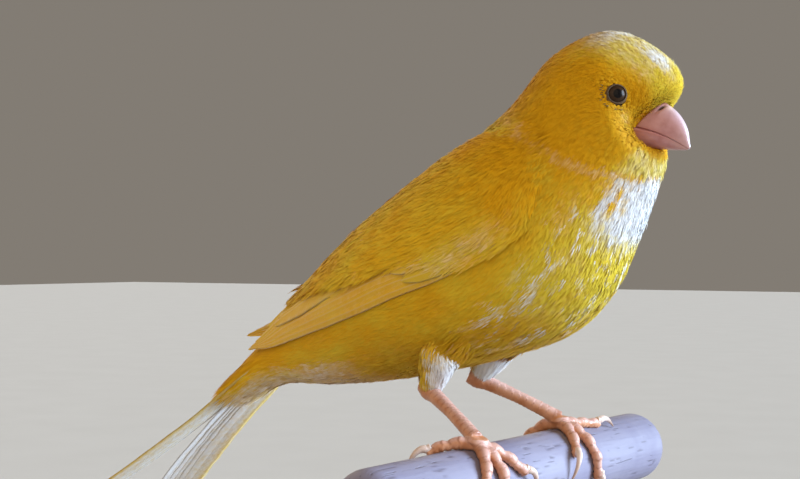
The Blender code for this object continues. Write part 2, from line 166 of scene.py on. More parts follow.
# %% Body sections
# Sections from the bill back to the tail: back x, back z, belly x, belly z, half width, height of the
# widest place, and how far the sides are swept back. The last row is where the longest tail coverts end.
BODY_SECTIONS = {
    "bill_root":   (27.2, 54.0, 26.4, 46.9, 3.5, 0.50, 3.2),
    "face":        (28.8, 57.2, 26.6, 46.0, 5.6, 0.46, 4.2),
    "forehead":    (26.4, 61.6, 26.2, 44.8, 7.8, 0.46, 3.7),
    "crown":       (18.2, 65.7, 25.4, 42.8, 9.7, 0.47, 1.5),
    "hind_crown":  (8.8, 62.8, 24.4, 40.2, 10.8, 0.49, 0.3),
    "nape":        (1.8, 55.4, 23.0, 37.0, 12.6, 0.50, 0.0),
    "mantle":      (-6.5, 48.8, 20.6, 31.8, 15.0, 0.50, 0.0),
    "shoulder":    (-15.8, 42.0, 16.8, 24.6, 16.6, 0.48, 0.0),
    "back":        (-24.8, 35.4, 9.0, 18.2, 16.8, 0.46, 0.0),
    "loin":        (-33.4, 28.6, -4.0, 13.8, 15.0, 0.46, 0.0),
    "rump":        (-41.0, 22.6, -19.0, 10.4, 11.6, 0.48, 0.0),
    "tail_root":   (-47.6, 17.6, -36.0, 7.4, 7.6, 0.50, 0.0),
    "tail_coverts": (-53.2, 13.2, -49.0, 6.6, 5.6, 0.50, 0.0),
    "covert_ends": (-60.5, 5.9, -61.5, 0.5, 6.4, 0.50, 0.0),
}
LAST_SECTION = len(BODY_SECTIONS) - 2.0


def catmull_rom(rows, t):
    """Smooth curve through the rows: a cubic between each two, whose slopes come from its neighbours."""
    v = np.asarray(rows, float)
    v = np.concatenate([[2 * v[0] - v[1]], v, [2 * v[-1] - v[-2]]])
    t = np.clip(np.asarray(t, float), 0, len(v) - 3 - 1e-9)
    i = t.astype(int)
    f = (t - i)[..., None]
    before, start, end, after = v[i], v[i + 1], v[i + 2], v[i + 3]
    slope = (end - before) * f
    bend = (2 * before - 5 * start + 4 * end - after) * f ** 2
    twist = (3 * start - before - 3 * end + after) * f ** 3
    return 0.5 * (2 * start + slope + bend + twist)


def body_surface(section, angle):
    """Coat point: belly to back share by the angle's sine, half width and sweep by its cosine."""
    section, angle = np.broadcast_arrays(np.asarray(section, float), np.asarray(angle, float))
    row = catmull_rom(list(BODY_SECTIONS.values()), section)
    back = np.stack([row[..., 0], 0 * section, row[..., 1]], -1)
    belly = np.stack([row[..., 2], 0 * section, row[..., 3]], -1)
    width, widest, sweep = row[..., 4], row[..., 5], row[..., 6]
    rise = np.sin(angle)
    reach = np.where(rise > 0, 1 - widest, widest) * rise
    point = belly + (back - belly) * (widest + reach)[..., None]
    point[..., 0] -= sweep * np.cos(angle) ** 2
    point[..., 1] += width * np.cos(angle)
    return point


def unit(vectors):
    """Vectors divided by their length."""
    return vectors / np.linalg.norm(vectors, axis=-1, keepdims=True)


class Sheet:
    """A surface of two parameters sampled on a grid, read between its samples by straight blending."""

    def __init__(self, shape, p_span, q_span, p_count, q_count, outward=1):
        self.low = np.array((p_span[0], q_span[0]), float)
        self.high = np.array((p_span[1], q_span[1]), float)
        self.count = np.array((p_count, q_count))
        p, q = np.meshgrid(np.linspace(*p_span, p_count), np.linspace(*q_span, q_count), indexing="ij")
        self.p, self.q = p, q
        self.point = shape(p, q)
        step_p = (p_span[1] - p_span[0]) / (p_count - 1)
        step_q = (q_span[1] - q_span[0]) / (q_count - 1)
        self.along = np.gradient(self.point, step_p, axis=0)
        self.around = np.gradient(self.point, step_q, axis=1)
        self.normal = unit(np.cross(self.along, self.around)) * outward
        self.area = np.linalg.norm(np.cross(self.along, self.around), axis=-1)
        self.field = np.concatenate([self.point, self.normal, self.along, self.around], -1)

    def read(self, p, q, parts=2):
        """Point and normal, and with parts=4 the two slopes, at any parameters."""
        spot = np.stack([np.asarray(p, float), np.asarray(q, float)], -1)
        spot = (spot - self.low) / (self.high - self.low) * (self.count - 1)
        spot = np.clip(spot, 0, self.count - 1.001)
        i = spot.astype(int)
        f = spot - i
        field = self.field[..., :3 * parts]
        a, b = i[..., 0], i[..., 1]
        u, v = f[..., :1], f[..., 1:]
        value = ((field[a, b] * (1 - u) + field[a + 1, b] * u) * (1 - v)
                 + (field[a, b + 1] * (1 - u) + field[a + 1, b + 1] * u) * v)
        return np.split(value, parts, axis=-1)

    def shift(self, p, q, walk):
        """Parameters after a small walk, from the two equations that give its share of each slope."""
        along, around = self.read(p, q, 4)[2:]
        aa = (along ** 2).sum(-1)
        ab = (along * around).sum(-1)
        bb = (around ** 2).sum(-1)
        wa = (walk * along).sum(-1)
        wb = (walk * around).sum(-1)
        size = aa * bb - ab ** 2
        return p + (bb * wa - ab * wb) / size, q + (aa * wb - ab * wa) / size

    def step(self, p, q, forward, sideways):
        """Parameters after walking forward along the first slope and sideways square to it."""
        normal, along = self.read(p, q, 4)[1:3]
        ahead = unit(along)
        side = np.cross(unit(normal), ahead)
        return self.shift(p, q, ahead * forward[..., None] + side * sideways[..., None])


coat = Sheet(body_surface, (0, LAST_SECTION + 1), (-math.pi, 2 * math.pi), 521, 721)
print("coat surface sampled at", coat.point.shape[:2], "points")

# %% [markdown]
# ## Where the colours lie
#
# A frosted canary is gold on cheeks, mantle and rump, lemon on crown and throat, and has white feather
# tips on the crown, in a bib under the throat, in a faint line round the neck, and in flecks down the
# breast. The markings are worked out once, for any place of the coat, and both the skin and the tufts
# carry them as two masks, gold and frost.

# %% Marking masks
def smooth_step(value, low, high):
    """0 below low, 1 above high, and an S-shaped cubic between."""
    t = np.clip((np.asarray(value, float) - low) / (high - low), 0, 1)
    return t * t * (3 - 2 * t)


def patch_noise(x, y, seed):
    """Soft random patches: random numbers on a unit lattice, blended by smooth steps."""
    table = np.random.default_rng(seed).random((128, 128))
    i, j = np.floor(x).astype(int), np.floor(y).astype(int)
    u, v = smooth_step(x - i, 0, 1), smooth_step(y - j, 0, 1)
    a, b = i % 128, j % 128
    c, d = (i + 1) % 128, (j + 1) % 128
    return (table[a, b] * (1 - u) + table[c, b] * u) * (1 - v) + (table[a, d] * (1 - u) + table[c, d] * u) * v


# Section number at which the head's feathers end, by elevation on the body's side in degrees
COLLAR = ((-90, 2.65), (-56, 3.4), (-35, 4.05), (-17, 4.4), (4, 4.68), (90, 4.85))


def elevation(angle):
    """Degrees above the widest line, the same on both sides: -90 at the belly, 90 at the back."""
    return np.degrees(np.arcsin(np.clip(np.sin(angle), -1, 1)))


def marking_masks(section, angle):
    """Gold and frost, each from 0 to 1, at a place of the coat."""
    up = elevation(angle)
    past_collar = section - np.interp(up, *zip(*COLLAR))
    streak = patch_noise(section * 0.8 + 7.3, angle * 19 + 40, 5)
    streak = 0.6 * streak + 0.4 * patch_noise(section * 1.9 + 3.1, angle * 34 + 40, 6)
    pale = patch_noise(section * 1.6 + 1.2, angle * 3.2 + 40, 9)
    crown = smooth_step(up, 24, 52) * (1 - smooth_step(section, 2.5, 3.9))
    crest = smooth_step(up, 40, 62) * crown * smooth_step(section, 0.5, 1.3)
    crest = crest * smooth_step(pale + 0.5 * streak, 0.42, 1.0)
    bib = smooth_step(past_collar + 0.5 * (streak - 0.5), -0.15, 0.3) * (1 - smooth_step(section, 4.9, 6.0))
    bib = bib * (1 - smooth_step(up + 34 * (streak - 0.5), -68, -42))
    neck_line = np.exp(-((past_collar - 0.12) / 0.14) ** 2) * smooth_step(up, -60, -45)
    neck_line = neck_line * (0.34 - 0.18 * smooth_step(up, -30, 10))
    breast = smooth_step(section, 4.7, 5.5) * (1 - smooth_step(up, -50, -14))
    fleck = smooth_step(streak, 0.64, 0.78) * breast * (1 - smooth_step(section, 7.5, 9.0))
    breast = breast * (1 - smooth_step(section, 6.4, 8.6))
    lore = np.exp(-((section - 1.15) / 0.5) ** 2 - ((up + 3) / 13) ** 2)
    throat = (1 - smooth_step(up, -58, -34)) * (1 - smooth_step(past_collar, -0.2, 0.1))
    throat = throat * smooth_step(section, 0.7, 1.6)
    vent = smooth_step(section, 9.4, 10.8) * (1 - smooth_step(up, -40, -5))
    rump = smooth_step(section, 8.8, 10.2) * smooth_step(up, -25, 15)
    body = smooth_step(past_collar, -0.1, 0.7)
    mantle = body * smooth_step(up, 5, 35) * (1 - smooth_step(section, 7.5, 9.0))
    gold = 0.96 - 0.7 * crown - 0.85 * throat - 0.34 * body - 0.5 * breast + 0.3 * rump
    gold = gold - 0.34 * mantle - 0.3 * lore + 0.26 * (pale - 0.5)
    frost = 0.42 * crest + 0.27 * crown * smooth_step(section, 0.7, 1.6) + 0.95 * bib + neck_line
    frost = frost + 0.6 * fleck + 0.3 * throat + 0.22 * lore + 0.4 * vent + 0.12 * breast + 0.22 * mantle
    frost = frost + 0.1 * body * smooth_step(pale, 0.45, 0.9)
    return np.clip(gold, 0, 1), np.clip(frost, 0, 1)


print("gold and frost on the cheek", [round(float(m), 2) for m in marking_masks(3.5, 0.0)],
      "and on the bib", [round(float(m), 2) for m in marking_masks(4.6, -1.5)])

# %% [markdown]
# ## Shader helpers and the shared effects
#
# The materials are built from a few node groups: the plumage colour, which turns the masks into
# colours, and a fine mottle, which roughens horn, scales and paint. A group puts out colours and
# values only. The shader itself stays in each material.

# %% Node helpers
def put(tree, kind, inputs=None, **settings):
    """New node with its settings, and each named input linked to a socket or set to a value."""
    node = tree.nodes.new(kind)
    for word, value in settings.items():
        setattr(node, word, value)
    for word, value in (inputs or {}).items():
        if isinstance(value, bpy.types.NodeSocket):
            tree.links.new(value, node.inputs[word])
        else:
            node.inputs[word].default_value = value
    return node


def calculate(tree, operation, first, second=0.0, third=0.0):
    """Output of a Math node."""
    return put(tree, "ShaderNodeMath", {0: first, 1: second, 2: third}, operation=operation).outputs[0]


def blend(tree, factor, first, second, way="MIX"):
    """Colour output of a Mix node; a colour of three numbers is made opaque."""
    node = put(tree, "ShaderNodeMix", data_type="RGBA", blend_type=way)
    for socket, value in ((node.inputs[0], factor), (node.inputs[6], first), (node.inputs[7], second)):
        if isinstance(value, bpy.types.NodeSocket):
            tree.links.new(value, socket)
        else:
            socket.default_value = (*value, 1) if isinstance(value, tuple) else value
    return node.outputs[2]


def rescale(tree, value, low, high, new_low=0.0, new_high=1.0):
    """Output of a clamped, smooth Map Range node."""
    return put(tree, "ShaderNodeMapRange", {
        "Value": value, "From Min": low, "From Max": high, "To Min": new_low, "To Max": new_high},
        interpolation_type="SMOOTHSTEP").outputs[0]


def noise(tree, place, scale, detail=2.0, stretch=None):
    """Value output of a Noise node, its place stretched by three factors if given."""
    if stretch:
        place = put(tree, "ShaderNodeMapping", {"Vector": place, "Scale": stretch}).outputs[0]
    return put(tree, "ShaderNodeTexNoise", {"Vector": place, "Scale": scale, "Detail": detail}).outputs[0]


def new_group(name, inputs, outputs):
    """Empty shader group with named sockets, its input node and its output node."""
    tree = bpy.data.node_groups.new(name, "ShaderNodeTree")
    for word, kind in inputs.items():
        tree.interface.new_socket(word, in_out="INPUT", socket_type="NodeSocket" + kind)
    for word, kind in outputs.items():
        tree.interface.new_socket(word, in_out="OUTPUT", socket_type="NodeSocket" + kind)
    return tree, put(tree, "NodeGroupInput").outputs, put(tree, "NodeGroupOutput").inputs


def new_material(name):
    """Material with a Principled shader and Object coordinates."""
    material = bpy.data.materials.new(name)
    material.use_nodes = True
    tree = material.node_tree
    return material, tree, tree.nodes["Principled BSDF"], put(tree, "ShaderNodeTexCoord").outputs["Object"]


def attribute(tree, word):
    """Value of a mesh attribute."""
    return put(tree, "ShaderNodeAttribute", attribute_name=word).outputs["Fac"]


def bump_to(tree, shader, height, distance, strength=1.0):
    """Bump of a height in metres into the shader's normal."""
    node = put(tree, "ShaderNodeBump", {"Height": height, "Distance": distance, "Strength": strength})
    tree.links.new(node.outputs[0], shader.inputs["Normal"])


# %% Plumage colour group
LEMON = (0.80, 0.61, 0.04)
GOLD = (0.78, 0.40, 0.004)
FROST = (0.86, 0.86, 0.88)


def make_plumage_group():
    """Colour from gold to lemon by the gold mask, to white by the frost mask, and darker at the roots as
    painted shade.
    """
    tree, given, result = new_group(
        "plumage_color",
        {"Place": "Vector", "Gold": "Float", "Frost": "Float", "Along": "Float", "Pick": "Float"},
        {"Color": "Color"})
    cloud = noise(tree, given["Place"], 160, 3)
    gold = calculate(tree, "MULTIPLY_ADD", calculate(tree, "SUBTRACT", cloud, 0.5), 0.7, given["Gold"])
    gold = calculate(tree, "MULTIPLY_ADD", calculate(tree, "SUBTRACT", given["Pick"], 0.5), 0.25, gold)
    color = blend(tree, rescale(tree, gold, 0.0, 1.0), LEMON, GOLD)
    tip = rescale(tree, given["Along"], 0.15, 0.7, 0.72, 1.0)
    fine = calculate(tree, "SUBTRACT", noise(tree, given["Place"], 900, 2), 0.5)
    uneven = calculate(tree, "MULTIPLY_ADD", calculate(tree, "SUBTRACT", given["Pick"], 0.5), 0.5, fine)
    share = calculate(tree, "MULTIPLY_ADD", given["Frost"], 0.7, 0.12)
    frost = calculate(tree, "MULTIPLY_ADD", uneven, share, given["Frost"])
    frost = calculate(tree, "MULTIPLY", rescale(tree, frost, 0.08, 0.92), tip)
    color = blend(tree, frost, color, FROST)
    # Painted shade: the colour darkens towards each strand's root, where the coat shades itself; the tone
    # from Pick is random.
    depth = rescale(tree, given["Along"], 0.0, 0.5, 0.9, 1.0)
    shade = calculate(tree, "MULTIPLY_ADD", given["Pick"], 0.1, 0.92)
    shade = calculate(tree, "MULTIPLY", shade, depth)
    grey = put(tree, "ShaderNodeCombineColor", {0: shade, 1: shade, 2: shade}).outputs[0]
    tree.links.new(blend(tree, 1.0, color, grey, "MULTIPLY"), result["Color"])
    return tree


def make_mottle_group():
    """Two sizes of noise as a value round a half, and their sum as a height."""
    tree, given, result = new_group(
        "surface_mottle", {"Place": "Vector", "Scale": "Float"}, {"Value": "Float", "Height": "Float"})
    coarse = noise(tree, given["Place"], given["Scale"], 3.0)
    fine = noise(tree, given["Place"], calculate(tree, "MULTIPLY", given["Scale"], 5.0), 2.0)
    tree.links.new(coarse, result["Value"])
    tree.links.new(calculate(tree, "MULTIPLY_ADD", fine, 0.4, coarse), result["Height"])
    return tree


plumage_group = make_plumage_group()
mottle_group = make_mottle_group()


def use_group(tree, group, inputs):
    """Outputs of a group node with its inputs set."""
    return put(tree, "ShaderNodeGroup", inputs, node_tree=group).outputs


# %% Feather materials
def make_plumage_material(name, along):
    """Soft matt plumage; along is None where each tuft carries its own, or a number on the skin."""
    material, tree, shader, place = new_material(name)
    inputs = {"Place": place, "Gold": attribute(tree, "gold"), "Frost": attribute(tree, "frost")}
    inputs["Along"] = attribute(tree, "along") if along is None else along
    inputs["Pick"] = attribute(tree, "pick") if along is None else 0.5
    color = use_group(tree, plumage_group, inputs)["Color"]
    tree.links.new(color, shader.inputs["Base Color"])
    shader.inputs["Roughness"].default_value = 0.68
    shader.inputs["Specular IOR Level"].default_value = 0.12
    shader.inputs["Sheen Weight"].default_value = 0.04
    if along is not None:
        down = noise(tree, place, 1400, 3)
        bump_to(tree, shader, down, 0.0002)
    return material


# The skin reads as a point a third of the way out along a strand, so it gets a slight painted root shade too.
skin_material = make_plumage_material("skin_under_plumage", 0.35)
tuft_material = make_plumage_material("plumage", None)
print("materials", [m.name for m in (skin_material, tuft_material)])

# %% [markdown]
# ## One skin under the coat
#
# The CAD body is parted into head, neck, trunk, rump and thighs. A real bird has one skin, so here
# the whole loft, sunk by the coat's depth, and the two thighs are joined and remeshed into one closed
# surface with no seam. The coat is thin on the face and deeper on the body.

# %% Skin
THIGH_TOP = {"left": (-6.0, 9.6, 18.5), "right": (-6.6, -10.2, 18.5)}
ANKLE = {"left": (-12.0, 7.8, 8.7), "right": (-11.6, -8.2, 7.9)}
FOOT = {"left": (0.3, 15.0, 1.6), "right": (1.8, -15.6, 1.3)}
THIGH_TOP_RADIUS, THIGH_END_RADIUS, THIGH_DRAWN_IN = 4.8, 1.75, 3.3
JAW_SINK = 1.2
SKIN_VOXEL = 0.5


def coat_depth(section):
    """Depth of the coat over the skin: a third of a millimetre at the bill, 1.1 on the trunk."""
    return 0.32 + 0.78 * smooth_step(section, 2.4, 6.0)


def join_tubes(name, tubes, voxel, smoothing):
    """One closed skin round several tubes, by a voxel remesh and some smoothing."""
    rough = tube_object(name + "_rough", tubes)
    remesh = rough.modifiers.new("join", "REMESH")
    remesh.mode = "VOXEL"
    remesh.voxel_size = voxel * MM
    smooth = rough.modifiers.new("smooth", "SMOOTH")
    smooth.iterations = smoothing
    mesh = bpy.data.meshes.new_from_object(rough.evaluated_get(bpy.context.evaluated_depsgraph_get()))
    bpy.data.objects.remove(rough)
    mesh.name = name
    mesh.shade_smooth()
    obj = bpy.data.objects.new(name, mesh)
    bpy.context.scene.collection.objects.link(obj)
    return obj


def square_frame(ahead):
    """Two unit vectors square to a direction."""
    side = unit(np.cross(ahead, (0.0, 1.0, 0.0)))
    return side, np.cross(ahead, side)


def tube_rings(points, radii, around):
    """Rings round a line: at each point a circle square to the line's slope."""
    points = np.asarray(points, float)
    side, other = square_frame(unit(np.gradient(points, axis=0)))
    turn = np.linspace(0, TAU, around, endpoint=False)
    spread = side[:, None] * np.cos(turn)[:, None] + other[:, None] * np.sin(turn)[:, None]
    return points[:, None] + spread * np.broadcast_to(radii, (around, len(points))).T[..., None]


def thigh_radius(share):
    """Radius down the thigh: a cone, drawn in at its top so that it comes out from under the belly."""
    cone = THIGH_TOP_RADIUS + (THIGH_END_RADIUS - THIGH_TOP_RADIUS) * share / 0.84
    return cone - THIGH_DRAWN_IN * (1 - smooth_step(share, -0.05, 0.5))


def thigh_surface(word):
    """Function of the share down the thigh and the turn round it: a cone from the belly to the ankle."""
    top, ankle = np.array(THIGH_TOP[word]), np.array(ANKLE[word])
    side, other = square_frame(unit(ankle - top))

    def shape(share, turn):
        spoke = side * np.cos(turn)[..., None] + other * np.sin(turn)[..., None]
        return top + (ankle - top) * share[..., None] + spoke * thigh_radius(share)[..., None]
    return shape


def make_skin():
    """Loft and thighs, sunk by the coat's depth and more under the lower bill, joined into one."""
    section, angle = np.meshgrid(np.linspace(0.05, LAST_SECTION, 170),
                                 np.linspace(0, TAU, 96, endpoint=False), indexing="ij")
    point, normal = coat.read(section, angle)
    down = -elevation(angle)
    jaw = JAW_SINK * (1 - smooth_step(section, 0.0, 0.9)) * smooth_step(down, 4, 26)
    jaw = jaw * (1 - smooth_step(down, 66, 86))
    tubes = [point - normal * (coat_depth(section) + jaw)[..., None]]
    for word in SIDES:
        share = np.linspace(-0.1, 1.03, 20)
        line = np.array(THIGH_TOP[word]) + np.subtract(ANKLE[word], THIGH_TOP[word]) * share[:, None]
        tubes.append(tube_rings(line, thigh_radius(share) - 0.9 + 0.95 * share, 24))
    return join_tubes("skin", tubes, SKIN_VOXEL, 4)


def thigh_masks(normal, side, share=1.0, noise_share=0.5):
    """Gold and frost of a thigh: white in front and towards the other leg, gold behind and on top."""
    front = normal[:, 0] - 0.6 * side * normal[:, 1] * (np.sign(-side * normal[:, 1]) > 0)
    front = smooth_step(front + 0.7 * (noise_share - 0.5), -0.1, 0.6)
    front = front * smooth_step(share + 0.2 * (noise_share - 0.5), 0.04, 0.26)
    return 0.55 - 0.25 * front, 0.14 + 0.78 * front


def mark_skin(skin):
    """Give each point of the skin the masks of the coat's nearest sample, or of the thigh."""
    sparse = (slice(0, None, 3), slice(240, None, 4))
    spots = world_points(coat.point[sparse].reshape(-1, 3))
    section, angle = coat.p[sparse].ravel(), coat.q[sparse].ravel()
    tree = KDTree(len(spots))
    for number, spot in enumerate(spots):
        tree.insert(spot, number)
    tree.balance()
    found = [tree.find(vert.co)[1:] for vert in skin.data.vertices]
    nearest, away = np.array([f[0] for f in found]), np.array([f[1] for f in found]) / MM
    gold, frost = marking_masks(section[nearest], angle[nearest])
    on_thigh = away > coat_depth(section[nearest]) + 0.9
    points, normals = mesh_arrays(skin.data)
    leg_gold, leg_frost = thigh_masks(normals, np.sign(points[:, 1]))
    set_masks(skin.data, {"gold": np.where(on_thigh, leg_gold, gold),
                          "frost": np.where(on_thigh, leg_frost, frost)})


skin = make_skin()
mark_skin(skin)
skin.data.materials.append(skin_material)
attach(skin, "root")
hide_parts("head", "neck", "trunk", "rump", "thigh_left", "thigh_right")
report(skin)

# %% [markdown]
# ## Tufts
#
# The small feathers of a canary are too soft to show a hard outline: each one reads as a pointed tuft
# of a few barb strands, lying back along the body. One strand is a thin pointed blade of five
# triangles, and a tuft is a fan of seven. All tufts of a region are one mesh. The roots follow an even
# pseudo-random sequence, so they neither line up nor clump. A tuft rises from the skin at its root to
# the coat's surface at its tip, and its path is read from the surface, so it bends with the body.

# %% Tuft maker
STRAND_ROWS = np.array((0.0, 0.34, 0.7, 1.0))
STRAND_CORNERS = np.array((0, 1, 3, 2, 2, 3, 5, 4, 4, 5, 6))
STRAND_PLACES = np.array((0, 0, 1, 1, 2, 2, 3))
PATCH = 0.003


def even_roots(sheet, density, p_span, q_span, seed):
    """Roots of a wanted density per square millimetre, by an even two-number sequence.

    The grid's cells are weighed by area and density. Rows are drawn from the summed weights of the
    rows, then columns from the summed weights in that row.
    """
    inside = (sheet.p >= p_span[0]) & (sheet.p <= p_span[1]) & (sheet.q >= q_span[0]) & (sheet.q < q_span[1])
    cell = np.prod((sheet.high - sheet.low) / (sheet.count - 1))
    weight = density(sheet.p, sheet.q) * sheet.area * cell * inside
    count = int(weight.sum())
    golden = 1.32471795724474602596
    number = np.arange(count) + 0.5 + 17.0 * seed
    x, y = (number / golden) % 1, (number / golden ** 2) % 1
    rows = np.cumsum(weight.sum(1))
    row = np.clip(np.searchsorted(rows, x * rows[-1]), 0, len(rows) - 1)
    before = np.where(row > 0, rows[row - 1], 0)
    part = (x * rows[-1] - before) / np.maximum(rows[row] - before, 1e-12)
    columns = np.cumsum(weight, axis=1)
    columns = columns / np.maximum(columns[:, -1:], 1e-12) + np.arange(len(rows))[:, None]
    column = np.searchsorted(columns.ravel(), row + y * 0.999999) - row * columns.shape[1]
    column = np.clip(column, 0, columns.shape[1] - 1)
    step = (sheet.high - sheet.low) / (sheet.count - 1)
    jitter = np.random.default_rng(seed).random(count)
    return sheet.p[row, 0] + (part - 0.5) * step[0], sheet.q[0, column] + (jitter - 0.5) * step[1]


def grow_tufts(name, sheet, p, q, length, width, lie=0.0, depth=0.9, rise=0.1, strands=7, tilt=0.3,
               seed=0, lift=0.0, gold=0.8, frost=0.0, patch=None):
    """Mesh of pointed tufts on a sheet.

    A strand runs forward by its length times the row, and sideways by the half width times a sine of
    the row, so that the tuft opens like a feather. Its height goes from minus the depth up to the rise
    along a quarter sine. lie turns the tuft from the sheet's first direction. The shading normals lean
    towards the sheet's own, which keeps the coat soft.
    """
    random = np.random.default_rng(1000 + seed)
    n, k, rows = len(p), strands, STRAND_ROWS
    spread = lambda value: np.broadcast_to(value, (n,)).astype(float)[:, None, None]
    length, width, lie = spread(length), spread(width), spread(lie)
    depth, rise, lift = spread(depth), spread(rise), spread(lift)
    across = np.linspace(-1, 1, k)[None, :, None] + random.normal(0, 0.12, (n, k, 1))
    reach = length * (1.06 - 0.34 * across ** 2) * random.uniform(0.82, 1.1, (n, k, 1))
    forward = reach * rows
    open_out = 0.22 + 0.78 * np.sin(math.pi / 2 * rows ** 0.8)
    sideways = 0.5 * width * across * open_out + random.normal(0, 0.05, (n, k, 1)) * length * rows ** 2
    turn = lie + random.normal(0, 0.08, (n, 1, 1))
    walk = forward * np.cos(turn) - sideways * np.sin(turn)
    drift = forward * np.sin(turn) + sideways * np.cos(turn)
    start_p, start_q = (np.broadcast_to(v[:, None, None], walk.shape) for v in (p, q))
    end_p, end_q = sheet.step(start_p, start_q, walk, drift)
    point, normal = sheet.read(end_p, end_q)
    top = rise + random.normal(0, 0.06, (n, k, 1)) + random.normal(0, 0.07, (n, 1, 1))
    height = -depth + (depth + top) * np.sin(math.pi / 2 * rows) ** 0.9 - 0.1 * width * across ** 2 + lift
    point = point + normal * height[..., None]
    path = unit(np.gradient(point, axis=2))
    edge = np.cross(normal, path) + normal * (random.normal(0, 1, (n, k, 1)) * spread(tilt))[..., None]
    half = 0.5 * width * 1.4 / k * np.array((0.75, 1.0, 0.72, 0.0))
    edge = unit(edge)
    facing = unit(unit(normal) * 4.0 + np.cross(path, edge))
    left, right = point + edge * half[..., None], point - edge * half[..., None]
    blades = np.stack([left[..., 0, :], right[..., 0, :], left[..., 1, :], right[..., 1, :],
                       left[..., 2, :], right[..., 2, :], point[..., 3, :]], 2)
    vertices = blades.reshape(-1, 3)
    blade_count = n * k
    corners = (STRAND_CORNERS[None, :] + 7 * np.arange(blade_count)[:, None]).ravel()
    sizes = np.tile((4, 4, 3), blade_count)
    along = np.tile(rows[STRAND_PLACES], blade_count)
    whole = lambda value: np.repeat(np.broadcast_to(value, (n,)), k * 7)
    masks = {"gold": whole(gold), "frost": whole(frost), "along": along, "pick": whole(random.random(n))}
    low, high = patch if patch is not None else (sheet.low, sheet.high)
    root = (np.stack([q, p], -1) - low[::-1]) / (high - low)[::-1]
    uv = np.repeat(np.clip(root, 0.01, 0.99), k * 7, axis=0)
    shift = np.stack([np.repeat(np.linspace(-0.5, 0.5, k), 7)[None].repeat(n, 0).ravel(), along - 0.5], -1)
    obj = mesh_object(name, vertices, corners, sizes, uv + PATCH * shift, masks)
    facing = facing[:, :, STRAND_PLACES].reshape(-1, 3)
    obj.data.normals_split_custom_set_from_vertices(facing.astype(np.float32))
    return report(obj)


# %% [markdown]
# ## Body coat
#
# The feathers are shortest round the bill and eye, and longest over the flanks and rump. Round the
# eye they part as water parts round a stone: the lie is bent by the flow past a disc. Roots that a
# folded wing hides are left out.

# %% Body coat values
EYE_CENTRE = np.array((21.45, 6.95, 54.85))
EYE_RADIUS = 2.1
WING_START, WING_TIP = 5.0, 11.85
WING_UPPER = ((0.0, 22.0), (0.08, 46.0), (0.25, 67.0), (0.5, 80.0), (0.8, 76.0), (1.0, 26.0))
WING_LOWER = (
    (0.0, 6.0), (0.06, -12.0), (0.2, -23.0), (0.3, -17.0), (0.5, 0.5), (0.78, 11.5), (1.0, 18.0))
COAT_SPAN = (np.array((0.0, 0.0)), np.array((LAST_SECTION + 1, TAU)))


def wing_edges(along):
    """Lower and upper edge of the folded wing in degrees, the tables' lines smoothed over a tenth."""
    step = np.linspace(0, 1, 101)
    window = np.hanning(11) / np.hanning(11).sum()
    smooth = lambda table: np.convolve(np.pad(np.interp(step, *zip(*table)), 5, "edge"), window, "valid")
    return np.interp(along, step, smooth(WING_LOWER)), np.interp(along, step, smooth(WING_UPPER))


def wing_margin(section, angle):
    """Degrees inside the folded wing's outline, negative outside it."""
    along = (section - WING_START) / (WING_TIP - WING_START)
    up = elevation(angle)
    lower, upper = wing_edges(along)
    inside = np.minimum(up - lower, upper - up)
    return np.where((along > 0) & (along < 1), inside, -90.0)


def body_density(section, angle):
    """Tufts per square millimetre: thick on the head, thinner on the trunk, none under the wing."""
    many = 12.5 - 3.0 * smooth_step(section, 1.9, 2.6) - 5.9 * smooth_step(section, 3.2, 6.2)
    many = many + 4.0 * (1 - smooth_step(section, 1.1, 1.9)) * smooth_step(elevation(angle), 0, 25)
    hidden = (wing_margin(section, angle) > 11) & (section > WING_START + 0.4) & (section < 10.0)
    return np.where(hidden, 0.0, many)


def wing_lap(section, angle, length):
    """Extra rise of feathers rooted outside the wing whose tips come down on it."""
    reach = np.linalg.norm(coat.read(section, angle, 4)[2], axis=-1)
    over = smooth_step(wing_margin(section + length / reach, angle), -4, 10)
    return 1.1 * over * smooth_step(-wing_margin(section, angle), -10, 2) * (section < 8.5)


def thigh_lap(section, angle, length):
    """Extra rise of belly feathers whose tips come down on a thigh: the tip's depth inside its cone."""
    reach = np.linalg.norm(coat.read(section, angle, 4)[2], axis=-1)
    tip = coat.read(section + length / reach, angle)[0]
    rise = np.zeros(len(section))
    for word in SIDES:
        top, down = np.array(THIGH_TOP[word]), np.subtract(ANKLE[word], THIGH_TOP[word])
        share = (tip - top) @ down / (down @ down)
        away = np.linalg.norm(tip - top - share[:, None] * down, axis=-1)
        inside = np.clip(thigh_radius(share) + 0.5 - away, 0, 2.2)
        rise = np.maximum(rise, inside * (share > -0.1) * (share < 0.8))
    return rise


def eye_flow(section, angle):
    """Distance from the eye, and the turn of the lie by the flow past a disc of the eye's size."""
    point, normal, along = coat.read(section, angle, 4)[:3]
    mirror = np.where(point[..., 1:2] < 0, (1, -1, 1), (1, 1, 1))
    away = point - EYE_CENTRE * mirror
    away = away - normal * (away * normal).sum(-1, keepdims=True)
    distance = np.linalg.norm(away, axis=-1)
    ahead = unit(along)
    side = np.cross(normal, ahead)
    spoke = away / distance[..., None]
    across = (spoke * ahead).sum(-1)
    sideways = (spoke * side).sum(-1)
    pull = np.clip(1.9 / distance, 0, 1) ** 2
    forward = 1 - pull * (2 * across ** 2 - 1)
    return distance, np.arctan2(-pull * 2 * across * sideways, forward)


def body_length(section, angle):
    """Tuft length: 1 mm at the bill, 2 on the crown, 4 on the breast, 7 on rump and vent."""
    up = elevation(angle)
    length = np.interp(section, (0, 0.6, 2.0, 3.6, 5.2, 7.0, 9.5, 11.0, 12.0),
                       (0.75, 1.05, 1.6, 2.1, 3.2, 4.2, 5.0, 6.6, 7.5))
    return length * (1 - 0.15 * smooth_step(up, 30, 80))


